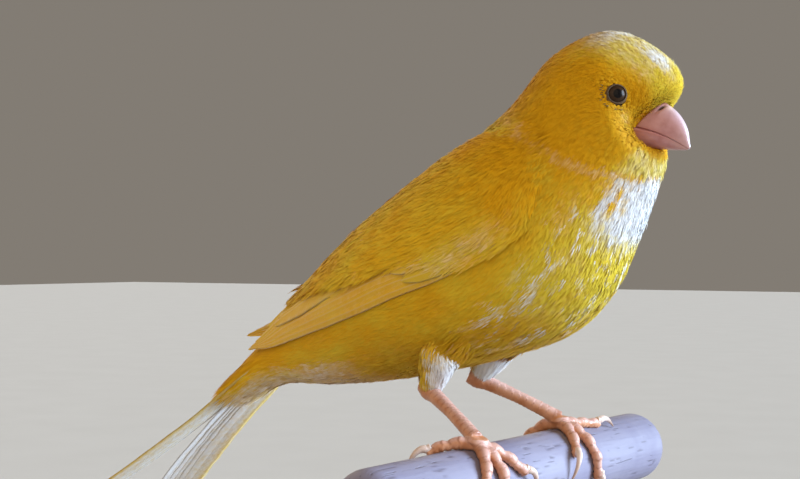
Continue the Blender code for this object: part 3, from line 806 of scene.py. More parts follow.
# %% Body coat
REGIONS = {
    "plumage_face": (0.0, 2.2),
    "plumage_crown": (2.2, 3.2),
    "plumage_nape": (3.2, 4.3),
    "plumage_neck": (4.3, 5.4),
    "plumage_breast": (5.4, 7.0),
    "plumage_belly": (7.0, 8.8),
    "plumage_vent": (8.8, 10.4),
    "plumage_rump": (10.4, LAST_SECTION + 0.3),
}
coat_pieces = []
for number, (name, span) in enumerate(REGIONS.items()):
    p, q = even_roots(coat, body_density, span, (0, TAU), number + 1)
    distance, lie = eye_flow(p, q)
    up = elevation(q)
    keep = (distance > 1.5) & (p > 0.02) & ((p > 0.42) | (up > -8) | (up < -70))
    p, q, distance, lie, up = p[keep], q[keep], distance[keep], lie[keep], up[keep]
    near_eye = smooth_step(distance, 1.7, 4.2)
    length = body_length(p, q) * (0.45 + 0.55 * near_eye)
    gold, frost = marking_masks(p, q)
    speckled = smooth_step(p, 4.7, 5.5) * (1 - smooth_step(p, 7.6, 9.2)) * smooth_step(-up, 20, 48)
    chosen = np.random.default_rng(500 + number).random(len(p)) > 0.94
    frost = np.clip(frost + 0.6 * speckled * chosen, 0, 1)
    depth = coat_depth(p) * (0.55 + 0.45 * near_eye)
    brow = 0.65 * smooth_step(up, 5, 45) * (1 - smooth_step(p, 0.7, 1.9))
    loose = smooth_step(-up, 38, 72) * smooth_step(p, 6.2, 8.0) * (1 - smooth_step(p, 9.6, 11.0))
    rise = 0.12 * near_eye + wing_lap(p, q, length) + thigh_lap(p, q, length) + brow + loose
    tilt = 0.1 + 0.2 * smooth_step(p, 1.0, 3.0)
    piece = grow_tufts(name, coat, p, q, length, 0.46 * length ** 0.8, lie, depth, rise, tilt=tilt,
                       seed=number, gold=gold, frost=frost, patch=COAT_SPAN)
    coat_pieces.append(piece)

# %% [markdown]
# ## Thighs
#
# The feathered upper legs are white in front and gold behind, and end in a loose fringe over the
# ankle. They are dressed like the body, on a cone of their own.

# %% Thigh coat
for word, side in SIDES.items():
    cone = Sheet(thigh_surface(word), (-0.1, 1.1), (-math.pi, 2 * math.pi), 60, 181, outward=-1)
    p, q = even_roots(cone, lambda p, q: 5.5 + 0 * p, (-0.08, 0.86), (0, TAU), 20 + side)
    point, normal = cone.read(p, q)
    loose = np.random.default_rng(90 + side).random(len(p))
    gold, frost = thigh_masks(normal, side, p, loose)
    length = (4.4 - 2.2 * smooth_step(p, 0.3, 0.9)) * (0.8 + 0.4 * loose)
    sunk = -0.3 * (1 - smooth_step(p, -0.08, 0.2))
    piece = grow_tufts("plumage_thigh_" + word, cone, p, q, length, 0.36 * length, 0.5 * (loose - 0.5), 0.8,
                       0.15 + 0.5 * loose ** 3, seed=30 + side, lift=sunk, gold=gold, frost=frost)
    coat_pieces.append(piece)

for piece in coat_pieces:
    piece.data.materials.append(tuft_material)
    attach(piece, "root")
print(len(coat_pieces), "coat pieces")

# %% [markdown]
# ## Large feathers
#
# Wings and tail are made of long feathers with a shaft and two flat vanes. Each could be a plane with
# a picture, but a thin closed blade shows its thickness from every side. All blades of a set are one
# mesh: a grid of rows along the shaft and columns across it, laid over a sheet.

# %% Blade maker
BLADE_ROWS = 1 - (1 - np.linspace(0, 1, 24)) ** 1.5
BLADE_COLUMNS = np.array((-1.0, -0.74, -0.45, -0.13, 0.0, 0.13, 0.45, 0.74, 1.0))


def spread_pairs(first, last, count):
    """Pairs of sheet parameters, evenly spaced from the first to the last."""
    return np.linspace(first, last, count)


def lay_blades(name, sheet, root, tip, half, height, hand, sharp=6.0, bow=0.0, seed=0,
               gold=0.7, frost=0.1, edge_frost=0.35, inner_frost=0.0, camber=0.2):
    """Mesh of long feathers on a sheet, each a closed blade from its root to its tip.

    The shaft runs straight between the two parameter pairs, plus the bow times a half sine. The half
    width is the square root of one minus the share to the power sharp. Height over the sheet goes
    from the first to the last value, with a low camber and a ridge for the shaft.
    """
    random = np.random.default_rng(2000 + seed)
    n, rows, columns = len(root), len(BLADE_ROWS), len(BLADE_COLUMNS)
    s, v = BLADE_ROWS[None, :, None], BLADE_COLUMNS[None, None, :]
    root, tip = np.asarray(root, float)[:, :, None, None], np.asarray(tip, float)[:, :, None, None]
    p = root[:, 0] + (tip[:, 0] - root[:, 0]) * s
    q = root[:, 1] + (tip[:, 1] - root[:, 1]) * s + bow * np.sin(math.pi * s)
    spine, normal = sheet.read(p, q)
    path = unit(np.gradient(spine, axis=1))
    side = unit(np.cross(unit(normal), path))
    each = lambda value: np.broadcast_to(value, (n,)).astype(float)[:, None, None]
    ragged = np.where(v < 0, random.uniform(0.9, 1, (n, rows, 1)), random.uniform(0.9, 1, (n, rows, 1)))
    width = each(half) * smooth_step(s, -0.06, 0.2) ** 0.5 * (1.0002 - s ** sharp) ** 0.5
    reach = v * width * ragged
    end_p, end_q = sheet.shift(p + 0 * v, q + 0 * v, side * reach[..., None])
    point, normal = sheet.read(end_p, end_q)
    normal = unit(normal)
    low, high = (each(part) for part in height)
    top = low + (high - low) * s + camber * (1 - v ** 2) + 0.1 * np.exp(-(reach / 0.25) ** 2)
    top = top + random.normal(0, 0.03, (n, 1, 1))
    thick = 0.16 * (1 - 0.5 * v ** 2)
    upper = point + normal * top[..., None]
    lower = (point + normal * (top - thick)[..., None])[:, :, -2:0:-1]
    rings = np.concatenate([upper, lower], 2)
    around = rings.shape[2]
    quads = grid_corners(rows, around)
    c = np.arange(around)
    cap = np.stack([(c + 1) % around, c, 0 * c + rows * around], -1)
    end = np.stack([(rows - 1) * around + c, (rows - 1) * around + (c + 1) % around,
                    0 * c + rows * around + 1], -1)
    spots = np.concatenate([rings.reshape(n, -1, 3), rings[:, 0].mean(1)[:, None],
                            rings[:, -1].mean(1)[:, None]], 1)
    a, b, d = (spots[0][quads[:, i]] for i in (0, 1, 3))
    if (np.cross(b - a, d - a) * (a - spots[0].mean(0))).sum() < 0:
        quads, cap, end = quads[:, ::-1], cap[:, ::-1], end[:, ::-1]
    count = spots.shape[1]
    start = count * np.arange(n)[:, None]
    corners = np.concatenate([(quads.reshape(1, -1) + start), (cap.reshape(1, -1) + start),
                              (end.reshape(1, -1) + start)], 1).ravel()
    sizes = np.tile(np.concatenate([np.full(len(quads), 4), np.full(2 * around, 3)]), n)

    def around_ring(value, ends):
        """Values of all points: the top's columns, the underside's columns back, and the two ends."""
        value = np.broadcast_to(value, (n, rows, columns))
        ring = np.concatenate([value, value[:, :, -2:0:-1]], 2).reshape(n, -1)
        return np.concatenate([ring, np.broadcast_to(ends, (n, 2))], 1).ravel()

    run = np.cumsum(np.linalg.norm(np.diff(spine[:, :, 0], axis=1, prepend=spine[:, :1, 0]), axis=-1), 1)
    outer = hand * v
    pale = each(frost) + edge_frost * smooth_step(np.abs(v), 0.35, 1.0) * (0.4 + 0.6 * s)
    pale = pale + inner_frost * (1 - smooth_step(outer, 0.25, 0.8))
    masks = {
        "gold": around_ring(each(gold) + 0 * pale, 0.5), "frost": around_ring(pale, 0.3),
        "along": around_ring(s, (0, 1)), "pick": around_ring(random.random((n, 1, 1)), 0.5),
        "run": around_ring(run[:, :, None], 0), "reach": around_ring(reach, 0)}
    cell = np.arange(n)[:, None, None] / n
    u = around_ring(cell + (0.08 + 0.84 * (v + 1) / 2) / n, 0.5 / n)
    uv = np.stack([u, around_ring(0.02 + 0.96 * s, (0.02, 0.98))], -1)
    return report(mesh_object(name, spots.reshape(-1, 3), corners, sizes, uv, masks))


# %% Blade material
def make_blade_material():
    """Plumage colours with slanting barb streaks, a pale shaft, and ridges that follow the barbs."""
    material, tree, shader, place = new_material("flight_feather")
    run, reach = attribute(tree, "run"), attribute(tree, "reach")
    slant = calculate(tree, "MULTIPLY_ADD", calculate(tree, "ABSOLUTE", reach), -1.3, run)
    spot = put(tree, "ShaderNodeCombineXYZ", {
        0: slant, 1: calculate(tree, "MULTIPLY", reach, 0.12),
        2: calculate(tree, "MULTIPLY", attribute(tree, "pick"), 40.0)}).outputs[0]
    streak = noise(tree, spot, 1.6, 3)
    frost = calculate(tree, "MULTIPLY_ADD", calculate(tree, "SUBTRACT", streak, 0.5), 0.2,
                      attribute(tree, "frost"))
    color = use_group(tree, plumage_group, {
        "Place": place, "Gold": attribute(tree, "gold"), "Frost": frost, "Along": 0.9,
        "Pick": attribute(tree, "pick")})["Color"]
    shaft = rescale(tree, calculate(tree, "ABSOLUTE", reach), 0.05, 0.16, 0.35, 0.0)
    color = blend(tree, shaft, color, (0.70, 0.50, 0.24))
    tree.links.new(color, shader.inputs["Base Color"])
    rough = rescale(tree, streak, 0.3, 0.7, 0.42, 0.6)
    tree.links.new(rough, shader.inputs["Roughness"])
    shader.inputs["Specular IOR Level"].default_value = 0.3
    shader.inputs["Sheen Weight"].default_value = 0.08
    wave = calculate(tree, "SINE", calculate(tree, "MULTIPLY", slant, 17.0))
    height = calculate(tree, "MULTIPLY_ADD", wave, 0.25, streak)
    bump_to(tree, shader, height, 0.00006)
    return material


blade_material = make_blade_material()

# %% [markdown]
# ## Folded wings
#
# The folded wing is a shield on the bird's side: long primaries at the lower edge, secondaries and
# tertials stacked above them, and rows of coverts over their roots. It is built in that order, on a
# sheet that follows the body and swells over the shoulder. A closed core under the coverts keeps the
# body from showing through, and soft covert tufts lie on top of everything.

# %% Wing sheets
WING_TIP_SHIFT = {"left": (-9.6, -2.6, 2.6), "right": (-1.0, 0.0, 0.8)}


def wing_surface(word, base=0.65, swell=1.05):
    """Function of along and across: the coat's point between the two edges, out by a domed height."""
    def shape(along, across):
        lower, upper = wing_edges(np.clip(along, 0, 1))
        angle = np.radians(lower + (upper - lower) * across)
        point, normal = coat.read(WING_START + (WING_TIP - WING_START) * along, angle)
        crown = np.clip(1 - np.abs(2 * across - 1) ** 3, 0, 1)
        rise = base + swell * crown * np.clip(np.sin(math.pi * np.clip(along * 1.2 + 0.1, 0, 1)), 0, 1)
        point = point + unit(normal) * rise[..., None]
        point = point + np.array(WING_TIP_SHIFT[word]) * np.clip(along, 0, 2)[..., None] ** 3
        return point * (1, SIDES[word], 1)
    return shape


wing_sheets = {word: Sheet(wing_surface(word), (-0.03, 1.04), (-0.25, 1.2), 160, 120, outward=side)
               for word, side in SIDES.items()}
print("wing sheet spans", np.ptp(wing_sheets["right"].point.reshape(-1, 3), axis=0).round(1), "mm")


# %% Wing core
def make_wing_core(word):
    """Closed shell between the sheet and one low over the body, under the coverts' tufts."""
    along, across = np.meshgrid(np.linspace(0.015, 0.62, 60), np.linspace(0.02, 0.98, 40), indexing="ij")
    upper = wing_sheets[word].read(along, across)[0]
    lower = wing_surface(word, base=0.1, swell=0.0)(along, across)
    dome = np.sin(math.pi * across)[..., None] ** 0.5 * np.sin(math.pi * along / 0.64)[..., None] ** 0.4
    upper = lower + (upper - lower) * dome
    core = tube_object("wing_core_" + word, [np.concatenate([upper, lower[:, ::-1]], 1)])
    count = len(core.data.vertices)
    set_masks(core.data, {"gold": np.full(count, 0.9), "frost": np.full(count, 0.1)})
    core.data.materials.append(skin_material)
    return report(core)


# %% Wing feathers
def make_wing_feathers(word):
    """Four sets of blades, from the primaries at the bottom to the greater coverts on top."""
    sheet, hand = wing_sheets[word], -SIDES[word]
    number = 10 if word == "left" else 20
    sets = []
    tips = np.stack([(0.955, 0.975, 0.99, 1.0, 0.985, 0.955, 0.92, 0.88),
                     (0.08, 0.2, 0.34, 0.46, 0.56, 0.64, 0.7, 0.76)], -1)
    sets.append(lay_blades(
        "primaries_" + word, sheet, spread_pairs((0.26, 0.08), (0.26, 0.36), 8), tips,
        np.linspace(1.15, 1.9, 8), (np.linspace(-0.25, -0.1, 8), np.linspace(0.1, 0.5, 8)), hand,
        sharp=4.0, bow=-0.02, seed=number, gold=0.62, frost=0.1, edge_frost=0.2))
    sets.append(lay_blades(
        "secondaries_" + word, sheet, spread_pairs((0.25, 0.27), (0.25, 0.62), 6),
        spread_pairs((0.84, 0.50), (0.72, 0.72), 6), 2.4,
        (-0.3, np.linspace(0.55, 0.85, 6)), hand, sharp=7.0, seed=number + 1,
        gold=0.6, frost=0.1, edge_frost=0.2))
    sets.append(lay_blades(
        "tertials_" + word, sheet, spread_pairs((0.26, 0.62), (0.22, 0.84), 3),
        spread_pairs((0.78, 0.78), (0.62, 0.92), 3), 2.8,
        (np.linspace(-0.3, -0.2, 3), np.linspace(0.9, 1.05, 3)), hand, sharp=6.0, seed=number + 2,
        gold=0.6, frost=0.08, edge_frost=0.2))
    sets.append(lay_blades(
        "greater_coverts_" + word, sheet, spread_pairs((0.16, 0.07), (0.16, 0.9), 10),
        spread_pairs((0.46, 0.12), (0.46, 0.90), 10), 1.75,
        (-0.75, np.linspace(0.5, 0.95, 10)), hand, sharp=6.0, seed=number + 3,
        gold=0.6, frost=0.1, edge_frost=0.2))
    for piece in sets:
        piece.data.materials.append(blade_material)
    return sets


# %% Covert tufts
def covert_masks(along, across):
    """Deep gold on the shoulder, paler behind, and a cream band above the primaries."""
    cream = 0.24 * np.exp(-((across - 0.14) / 0.1) ** 2) * smooth_step(along, 0.08, 0.25)
    patches = patch_noise(along * 9 + 3.3, across * 13 + 9.1, 31)
    streaks = patch_noise(along * 16 + 3.3, across * 34 + 9.1, 32)
    gold = 1.0 - 0.42 * smooth_step(along, 0.04, 0.22) - 0.2 * cream + 0.3 * (patches - 0.5)
    frost = 0.02 + cream + 0.1 * smooth_step(streaks, 0.55, 0.95) * smooth_step(along, 0.1, 0.4)
    return gold, frost + 0.08 * smooth_step(along, 0.5, 0.8)


def make_covert_tufts(word):
    """Soft overlapping tufts, thick on the shoulder and finer over the long feathers."""
    density = lambda along, across: (3.4 - 0.8 * smooth_step(along, 0.2, 0.5)) * (
        smooth_step(across, 0.0, 0.06) * (1 - smooth_step(across, 0.94, 1.02)))
    number = 60 if word == "left" else 61
    p, q = even_roots(wing_sheets[word], density, (0.0, 0.7), (0.0, 1.0), number)
    keep = q > 0.26 * smooth_step(p, 0.26, 0.42) + 0.35 * smooth_step(p, 0.45, 0.72)
    p, q = p[keep], q[keep]
    length = 2.6 + 3.6 * smooth_step(p, 0.02, 0.35)
    low = 0.75 * smooth_step(p, 0.0, 0.16) + 0.25 * smooth_step(p, 0.2, 0.5)
    gold, frost = covert_masks(p, q)
    tufts = grow_tufts("covert_tufts_" + word, wing_sheets[word], p, q, length, 0.42 * length ** 0.85,
                       0.0, 0.7, 0.12, seed=number, lift=low * smooth_step(q, -0.05, 0.3), gold=gold,
                       frost=frost)
    tufts.data.materials.append(tuft_material)
    return tufts


for word in SIDES:
    core = make_wing_core(word)
    feathers = make_wing_feathers(word)
    tufts = make_covert_tufts(word)
    for piece in (core, tufts, *feathers):
        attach(piece, "root")
    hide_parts("wing_coverts_" + word)
    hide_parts("wing_primaries_" + word)

# %% [markdown]
# ## Tail
#
# The tail is two half fans of six feathers. The middle pair lies on top and the outer ones below, so
# from below the outer feathers show. Each feather's outer vane is yellow and its wide inner vane is
# nearly white.

# %% Tail
TAIL_ROOT = (-51.9, 9.9)
TAIL_SLOPE = math.radians(-37.5)
TAIL_LENGTH, TAIL_NOTCH = 46.0, 5.0
TAIL_PARTING, TAIL_PARTING_START = 6.0, 0.35
TAIL_ROOT_HALF = 5.5
TAIL_TIP_HALF = {"left": 9.5, "right": 8.2}
TAIL_DROOP = {"left": 2.6, "right": -0.2}
TAIL_TIP_RISE = {"left": -1.0, "right": 1.5}


def tail_surface(word):
    """Function of along and across: a sloping half fan that parts from its twin and droops outwards."""
    def shape(along, across):
        half = TAIL_ROOT_HALF + (TAIL_TIP_HALF[word] - TAIL_ROOT_HALF) * along
        reach = along * (TAIL_LENGTH - TAIL_NOTCH * np.clip(1 - across, 0, 2) ** 1.5)
        parting = TAIL_PARTING * np.clip(along - TAIL_PARTING_START, 0, 1) ** 1.3
        sink = TAIL_DROOP[word] * across ** 2 * (0.3 + 0.7 * along) - TAIL_TIP_RISE[word] * along ** 2
        slope = np.array((math.sin(TAIL_SLOPE), 0, math.cos(TAIL_SLOPE)))
        x = TAIL_ROOT[0] - reach * math.cos(TAIL_SLOPE)
        y = SIDES[word] * (0.15 + parting + half * across)
        z = TAIL_ROOT[1] + reach * math.sin(TAIL_SLOPE)
        return np.stack([x, y, z], -1) - sink[..., None] * slope
    return shape


for word, side in SIDES.items():
    sheet = Sheet(tail_surface(word), (-0.12, 1.03), (-0.2, 1.2), 80, 40, outward=-side)
    feathers = lay_blades(
        "tail_feathers_" + word, sheet, spread_pairs((-0.06, 0.2), (-0.06, 0.75), 6),
        spread_pairs((1.0, 0.16), (1.0, 0.86), 6), np.linspace(2.1, 2.4, 6),
        (np.linspace(0.3, -0.4, 6), np.linspace(0.05, -0.3, 6)), -side, sharp=9.0, seed=40 + side,
        gold=0.55, frost=0.3, edge_frost=0.1, inner_frost=0.38, camber=0.02)
    feathers.data.materials.append(blade_material)
    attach(feathers, "root")
    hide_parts("tail_" + word)

# %% [markdown]
# ## Bill
#
# A finch's bill is a short cone in two halves of thin horn over bone. The upper half has a rounded
# ridge and a small nostril at its root, half hidden by bristles, and its cutting edge lies over the
# lower half. Each half is lofted from three curves: the outer line, the mouth line and the half width.

# %% Bill
BILL_RIDGE = ((26.9, 54.1), (29.1, 52.2), (30.5, 49.8), (31.0, 47.0))
BILL_MOUTH = ((23.2, 50.2), (26.0, 49.4), (28.6, 48.2), (30.8, 46.7))
BILL_FLOOR = ((22.0, 47.0), (25.6, 46.8), (28.2, 46.6), (30.2, 46.5))
BILL_HALF_WIDTH = ((3.1,), (2.5,), (1.5,), (0.3,))
NOSTRIL = (0.24, math.radians(60))
LOWER_FLARE = 0.24


def bill_half(name, outer, mouth, overlap, nostrils, flare=0.0):
    """Closed half of the bill, arched by the sine of the turn, with masks for its edge and nostrils."""
    rows, around = 60, 64
    share = 3 * (1 - (1 - np.linspace(0, 1, rows)) ** 1.4)
    share = share * 0.9999
    outer, mouth = catmull_rom(outer, share), catmull_rom(mouth, share)
    width = catmull_rom(BILL_HALF_WIDTH, share)[:, 0] * (1 + overlap) * (1 + flare * (1 - share / 3) ** 2)
    turn = np.linspace(0, TAU, around, endpoint=False)
    bulge = np.clip(np.sin(turn), 0, 1) ** 0.93
    roof = np.clip(-np.sin(turn), 0, 1) * 0.12
    arch = (outer - mouth)[:, None] * (bulge + roof)[None, :, None]
    arch = arch - (outer - mouth)[:, None] * overlap * np.clip(np.cos(turn) ** 8, 0, 1)[None, :, None]
    flank = np.abs(np.cos(turn)) ** 0.95 * np.sign(np.cos(turn)) * (1 - 0.12 * bulge)
    points = np.zeros((rows, around, 3))
    points[..., 0] = mouth[:, None, 0] + arch[..., 0]
    points[..., 2] = mouth[:, None, 1] + arch[..., 1]
    points[..., 1] = width[:, None] * flank
    # The hole mask marks the nostril pits, which the bill's material paints near black as painted shade.
    away = np.minimum(np.abs(turn - NOSTRIL[1]), np.abs(turn - (math.pi - NOSTRIL[1])))
    hole = np.exp(-((share[:, None] - NOSTRIL[0]) / 0.075) ** 2 - (away / 0.27) ** 2) * nostrils
    middle = points.mean(1, keepdims=True)
    points = points + (middle - points) * 0.12 * hole[..., None]
    edge = np.exp(-(bulge / 0.16) ** 2) * (1 - roof * 8).clip(0, 1)
    ends = lambda field: np.concatenate([field.ravel(), [field[0].mean(), field[-1].mean()]])
    tip = np.broadcast_to(share[:, None] / 3, (rows, around))
    # The ridge mask marks the culmen, which the bill's material paints paler, in part as a painted highlight.
    ridge = np.broadcast_to(nostrils * bulge ** 7 * smooth_step(share, 0.1, 0.5)[:, None], (rows, around))
    masks = {"edge": [ends(np.broadcast_to(edge, (rows, around)))], "hole": [ends(hole + 0 * tip)],
             "tip": [ends(tip)], "ridge": [ends(ridge)]}
    return report(tube_object(name, [points], masks))


def make_bill_material():
    """Pink horn: pale ridge, partly its own colour and partly a painted highlight, translucent pale tip,
    dusky root, reddish edge, nostrils painted near black as painted shade, fine growth lines.
    """
    material, tree, shader, place = new_material("bill_horn")
    mottle = use_group(tree, mottle_group, {"Place": place, "Scale": 420.0})
    color = blend(tree, rescale(tree, mottle["Value"], 0.35, 0.65), (0.40, 0.155, 0.16), (0.50, 0.235, 0.25))
    lines = noise(tree, place, 500, 2, (0.25, 1.2, 1.2))
    color = blend(tree, rescale(tree, lines, 0.45, 0.75, 0.0, 0.35), color, (0.58, 0.34, 0.38))
    tip = attribute(tree, "tip")
    color = blend(tree, rescale(tree, tip, 0.45, 1.0, 0.0, 0.4), color, (0.74, 0.54, 0.53))
    color = blend(tree, rescale(tree, tip, 0.12, 0.0, 0.0, 0.3), color, (0.42, 0.20, 0.13))
    # Partly painted highlight: the culmen is blended towards a pale lilac, both for the light it catches and
    # for its paler horn.
    color = blend(tree, calculate(tree, "MULTIPLY", attribute(tree, "ridge"), 0.7), color,
                  (0.78, 0.64, 0.70))
    color = blend(tree, calculate(tree, "MULTIPLY", attribute(tree, "edge"), 0.4), color,
                  (0.44, 0.12, 0.08))
    # Painted shade: the nostril pits are painted near black.
    color = blend(tree, rescale(tree, attribute(tree, "hole"), 0.15, 0.7), color, (0.05, 0.015, 0.01))
    tree.links.new(color, shader.inputs["Base Color"])
    tree.links.new(rescale(tree, lines, 0.3, 0.7, 0.28, 0.42), shader.inputs["Roughness"])
    shader.inputs["Coat Weight"].default_value = 0.3
    bump_to(tree, shader, calculate(tree, "MULTIPLY_ADD", lines, 1.5, mottle["Height"]), 0.00005)
    return material


bill_material = make_bill_material()
mouth_below = np.array(BILL_MOUTH) - (0.0, 0.04)
bill_upper = bill_half("bill_horn_upper", BILL_RIDGE, BILL_MOUTH, 0.05, 1.0)
bill_lower = bill_half("bill_horn_lower", BILL_FLOOR, mouth_below, 0.0, 0.0, LOWER_FLARE)
for piece, node in ((bill_upper, "bill_upper"), (bill_lower, "bill_lower")):
    piece.data.materials.append(bill_material)
    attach(piece, "root")
    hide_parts(node)

# %% [markdown]
# ## Eyes
#
# The eye is a dark, wet ball, of which the lids show a disc two thirds as wide as the ball. The lid
# rim is a ring of tiny dark beads. The ball is a sphere with a slightly bulging cornea, and the lids
# are a profile turned round the eye's axis, which is the coat's normal there.

# %% Eye and lids
LID_PROFILE = np.array((
    (1.32, 1.40), (1.35, 1.58), (1.40, 1.67), (1.47, 1.68), (1.55, 1.57), (1.65, 1.32), (1.80, 0.95),
    (2.00, 0.60), (1.95, 0.40), (1.70, 0.50), (1.38, 1.05)))


# The coat's samples on the head, where its nearest point to the eye or to a bristle is looked for
head_points = coat.point[:160, 240:].reshape(-1, 3)
head_normals = coat.normal[:160, 240:].reshape(-1, 3)


def axis_frame(side):
    """Centre of one eye and three unit vectors: outwards, forwards and up."""
    centre = EYE_CENTRE * (1, side, 1)
    outward = head_normals[np.argmin(((head_points - centre) ** 2).sum(1))]
    forward = unit(np.cross(np.cross(outward, (1.0, 0, 0)), outward))
    return centre, outward, forward, np.cross(outward, forward) * -side


def turned(radius, height, frame_of_eye, around, squash=1.0):
    """Rings of radius and height turned round the eye's axis, squashed upwards by a factor."""
    centre, outward, forward, up = frame_of_eye
    turn = np.linspace(0, TAU, around, endpoint=False)
    spread = forward * np.cos(turn)[:, None] + up * np.sin(turn)[:, None] * squash
    return centre + spread * radius[..., None] + outward * height[..., None]


def make_eye(word):
    """Ball with a bulging cornea; its mask ring is the polar angle in radians."""
    polar = np.linspace(0.02, math.pi - 0.02, 60)[:, None] + np.zeros((1, 64))
    radius = (EYE_RADIUS - 0.06) * (1 + 0.035 * np.exp(-(polar / 0.6) ** 4))
    rings = turned(radius * np.sin(polar), radius * np.cos(polar), axis_frame(SIDES[word]), 64)
    ring = np.concatenate([polar.ravel(), [0, math.pi]])
    return report(tube_object("eye_ball_" + word, [rings], {"ring": [ring]}))


def make_lids(word):
    """Lid profile turned round the axis, its rim beaded by a sine of the turn."""
    around = 120
    turn = np.linspace(0, TAU, around, endpoint=False)
    line = catmull_rom(LID_PROFILE, np.linspace(0, len(LID_PROFILE) - 1, 40))
    rim = np.exp(-((line[:, 1] - 1.67) / 0.16) ** 2)[:, None]
    bead = 0.05 * np.abs(np.sin(turn * 15))[None, :] * rim
    radius = line[:, :1] + 0.03 * np.cos(2 * turn)
    rings = turned(radius, line[:, 1:] + bead, axis_frame(SIDES[word]), around, 0.98)
    rings = np.concatenate([rings, rings[:1]])
    flat = rings[:-1].reshape(-1, 3)
    quads = grid_corners(41, around) % len(flat)
    a, b, d = (flat[quads[:, i]] for i in (0, 1, 3))
    middle = np.repeat(rings[:-1].mean(0)[None], 40, 0).reshape(-1, 3)
    if (np.cross(b - a, d - a) * (a - middle[quads[:, 0]])).sum() < 0:
        quads = quads[:, ::-1]
    rim = np.broadcast_to(rim, (40, around)).ravel()
    return report(mesh_object("eyelids_" + word, flat, quads.ravel(), np.full(len(quads), 4),
                              masks={"rim": rim}))


def make_eye_material():
    """Dark brown iris round a black pupil under a clear wet coat."""
    material, tree, shader, place = new_material("eye_wet")
    ring = attribute(tree, "ring")
    fibre = noise(tree, place, 2600, 3)
    iris = blend(tree, fibre, (0.024, 0.012, 0.006), (0.055, 0.027, 0.012))
    color = blend(tree, rescale(tree, ring, 0.30, 0.40, 0.0, 1.0), (0.004, 0.003, 0.003), iris)
    color = blend(tree, rescale(tree, ring, 0.64, 0.74), color, (0.012, 0.007, 0.005))
    tree.links.new(color, shader.inputs["Base Color"])
    tree.links.new(rescale(tree, fibre, 0.3, 0.7, 0.2, 0.28), shader.inputs["Roughness"])
    shader.inputs["Specular IOR Level"].default_value = 0.14
    bump_to(tree, shader, fibre, 0.00001)
    return material


def make_lid_material():
    """Greyish brown bare skin, darker on the rim, finely wrinkled."""
    material, tree, shader, place = new_material("lid_skin")
    mottle = use_group(tree, mottle_group, {"Place": place, "Scale": 1500.0})
    color = blend(tree, mottle["Value"], (0.12, 0.072, 0.033), (0.20, 0.125, 0.056))
    color = blend(tree, rescale(tree, attribute(tree, "rim"), 0.3, 0.9, 0.0, 0.7), color,
                  (0.065, 0.043, 0.027))
    tree.links.new(color, shader.inputs["Base Color"])
    tree.links.new(rescale(tree, mottle["Value"], 0.3, 0.7, 0.42, 0.58), shader.inputs["Roughness"])
    bump_to(tree, shader, mottle["Height"], 0.00006)
    return material


eye_material, lid_material = make_eye_material(), make_lid_material()
for word in SIDES:
    ball, lids = make_eye(word), make_lids(word)
    ball.data.materials.append(eye_material)
    lids.data.materials.append(lid_material)
    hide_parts("eye_" + word)
    for piece in (ball, lids):
        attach(piece, "root")

# %% [markdown]
# ## Bristles
#
# Short dark bristles stand behind and below each eye, and golden brown ones at the root of the bill
# over the nostrils. Each is a thin curved tube that starts in the coat.

# %% Bristles
def bristle_tubes(start, ahead, normal, length, radius):
    """Tubes that leave the coat along ahead and rise by a quarter of a parabola."""
    s = np.linspace(0, 1, 6)
    lines = (start[:, None] + ahead[:, None] * (length[:, None] * s)[..., None]
             + normal[:, None] * (0.18 * length[:, None] * (2 * s - 1.6 * s ** 2) - 0.15)[..., None])
    return [tube_rings(line, radius * (1.02 - s ** 2) * np.ones(6), 6) for line in lines]


def eye_bristles(side, seed):
    """Bristles in an arc from behind the eye to below it, pointing away from it."""
    random = np.random.default_rng(seed)
    centre, outward, forward, up = axis_frame(side)
    count = 26
    turn = np.radians(random.uniform(150, 305, count))
    spoke = forward * np.cos(turn)[:, None] + up * np.sin(turn)[:, None]
    spots = centre + spoke * random.uniform(1.95, 2.65, (count, 1)) + outward * 1.55
    nearest = [np.argmin(((head_points - spot) ** 2).sum(1)) for spot in spots]
    point, normal = head_points[nearest], head_normals[nearest]
    ahead = unit(spoke * 0.6 - forward * 0.8 + random.normal(0, 0.25, (count, 3)))
    return bristle_tubes(point + normal * 0.15, ahead, normal, random.uniform(0.3, 0.6, count), 0.06)


def bill_bristles(side, seed):
    """Bristles along the bill's root, pointing forwards over it."""
    random = np.random.default_rng(seed)
    count = 18
    angle = np.radians(random.uniform(8, 62, count))
    angle = angle if side > 0 else math.pi - angle
    section = random.uniform(0.02, 0.3, count)
    point, normal = coat.read(section, angle)
    ahead = unit(np.stack([np.full(count, 1.0), 0.25 * side + 0 * section, np.full(count, -0.75)], -1)
                 + random.normal(0, 0.2, (count, 3)))
    return bristle_tubes(point, ahead, unit(normal), random.uniform(0.5, 1.2, count), 0.06)


def make_bristle_material(name, dark, light):
    """Stiff hair with a little gloss."""
    material, tree, shader, place = new_material(name)
    tree.links.new(blend(tree, noise(tree, place, 1200), dark, light), shader.inputs["Base Color"])
    shader.inputs["Roughness"].default_value = 0.5
    return material


for name, maker, dark, light in (
        ("eye_bristles", eye_bristles, (0.03, 0.02, 0.012), (0.12, 0.08, 0.03)),
        ("bill_bristles", bill_bristles, (0.36, 0.15, 0.02), (0.60, 0.34, 0.04))):
    bristles = report(tube_object(name, maker(1, 71) + maker(-1, 72)))
    bristles.data.materials.append(make_bristle_material(name + "_hair", dark, light))
    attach(bristles, "root")

# %% [markdown]
# ## Legs and feet
#
# The bare shank and toes are covered with horny plates that overlap downwards like roof tiles, and
# the toes' undersides have soft pads. Tubes for shank, foot and toes are joined by a voxel remesh, so
# that the foot is one skin, and then each point is pushed out by a saw tooth of its place along the
# nearest tube.

# %% Foot lines
TARSUS_RADII = ((0.0, 1.5), (0.12, 1.35), (0.5, 1.15), (0.85, 1.25), (1.0, 1.35))
TOE_RADIUS, TOE_START = 0.9, 3.1
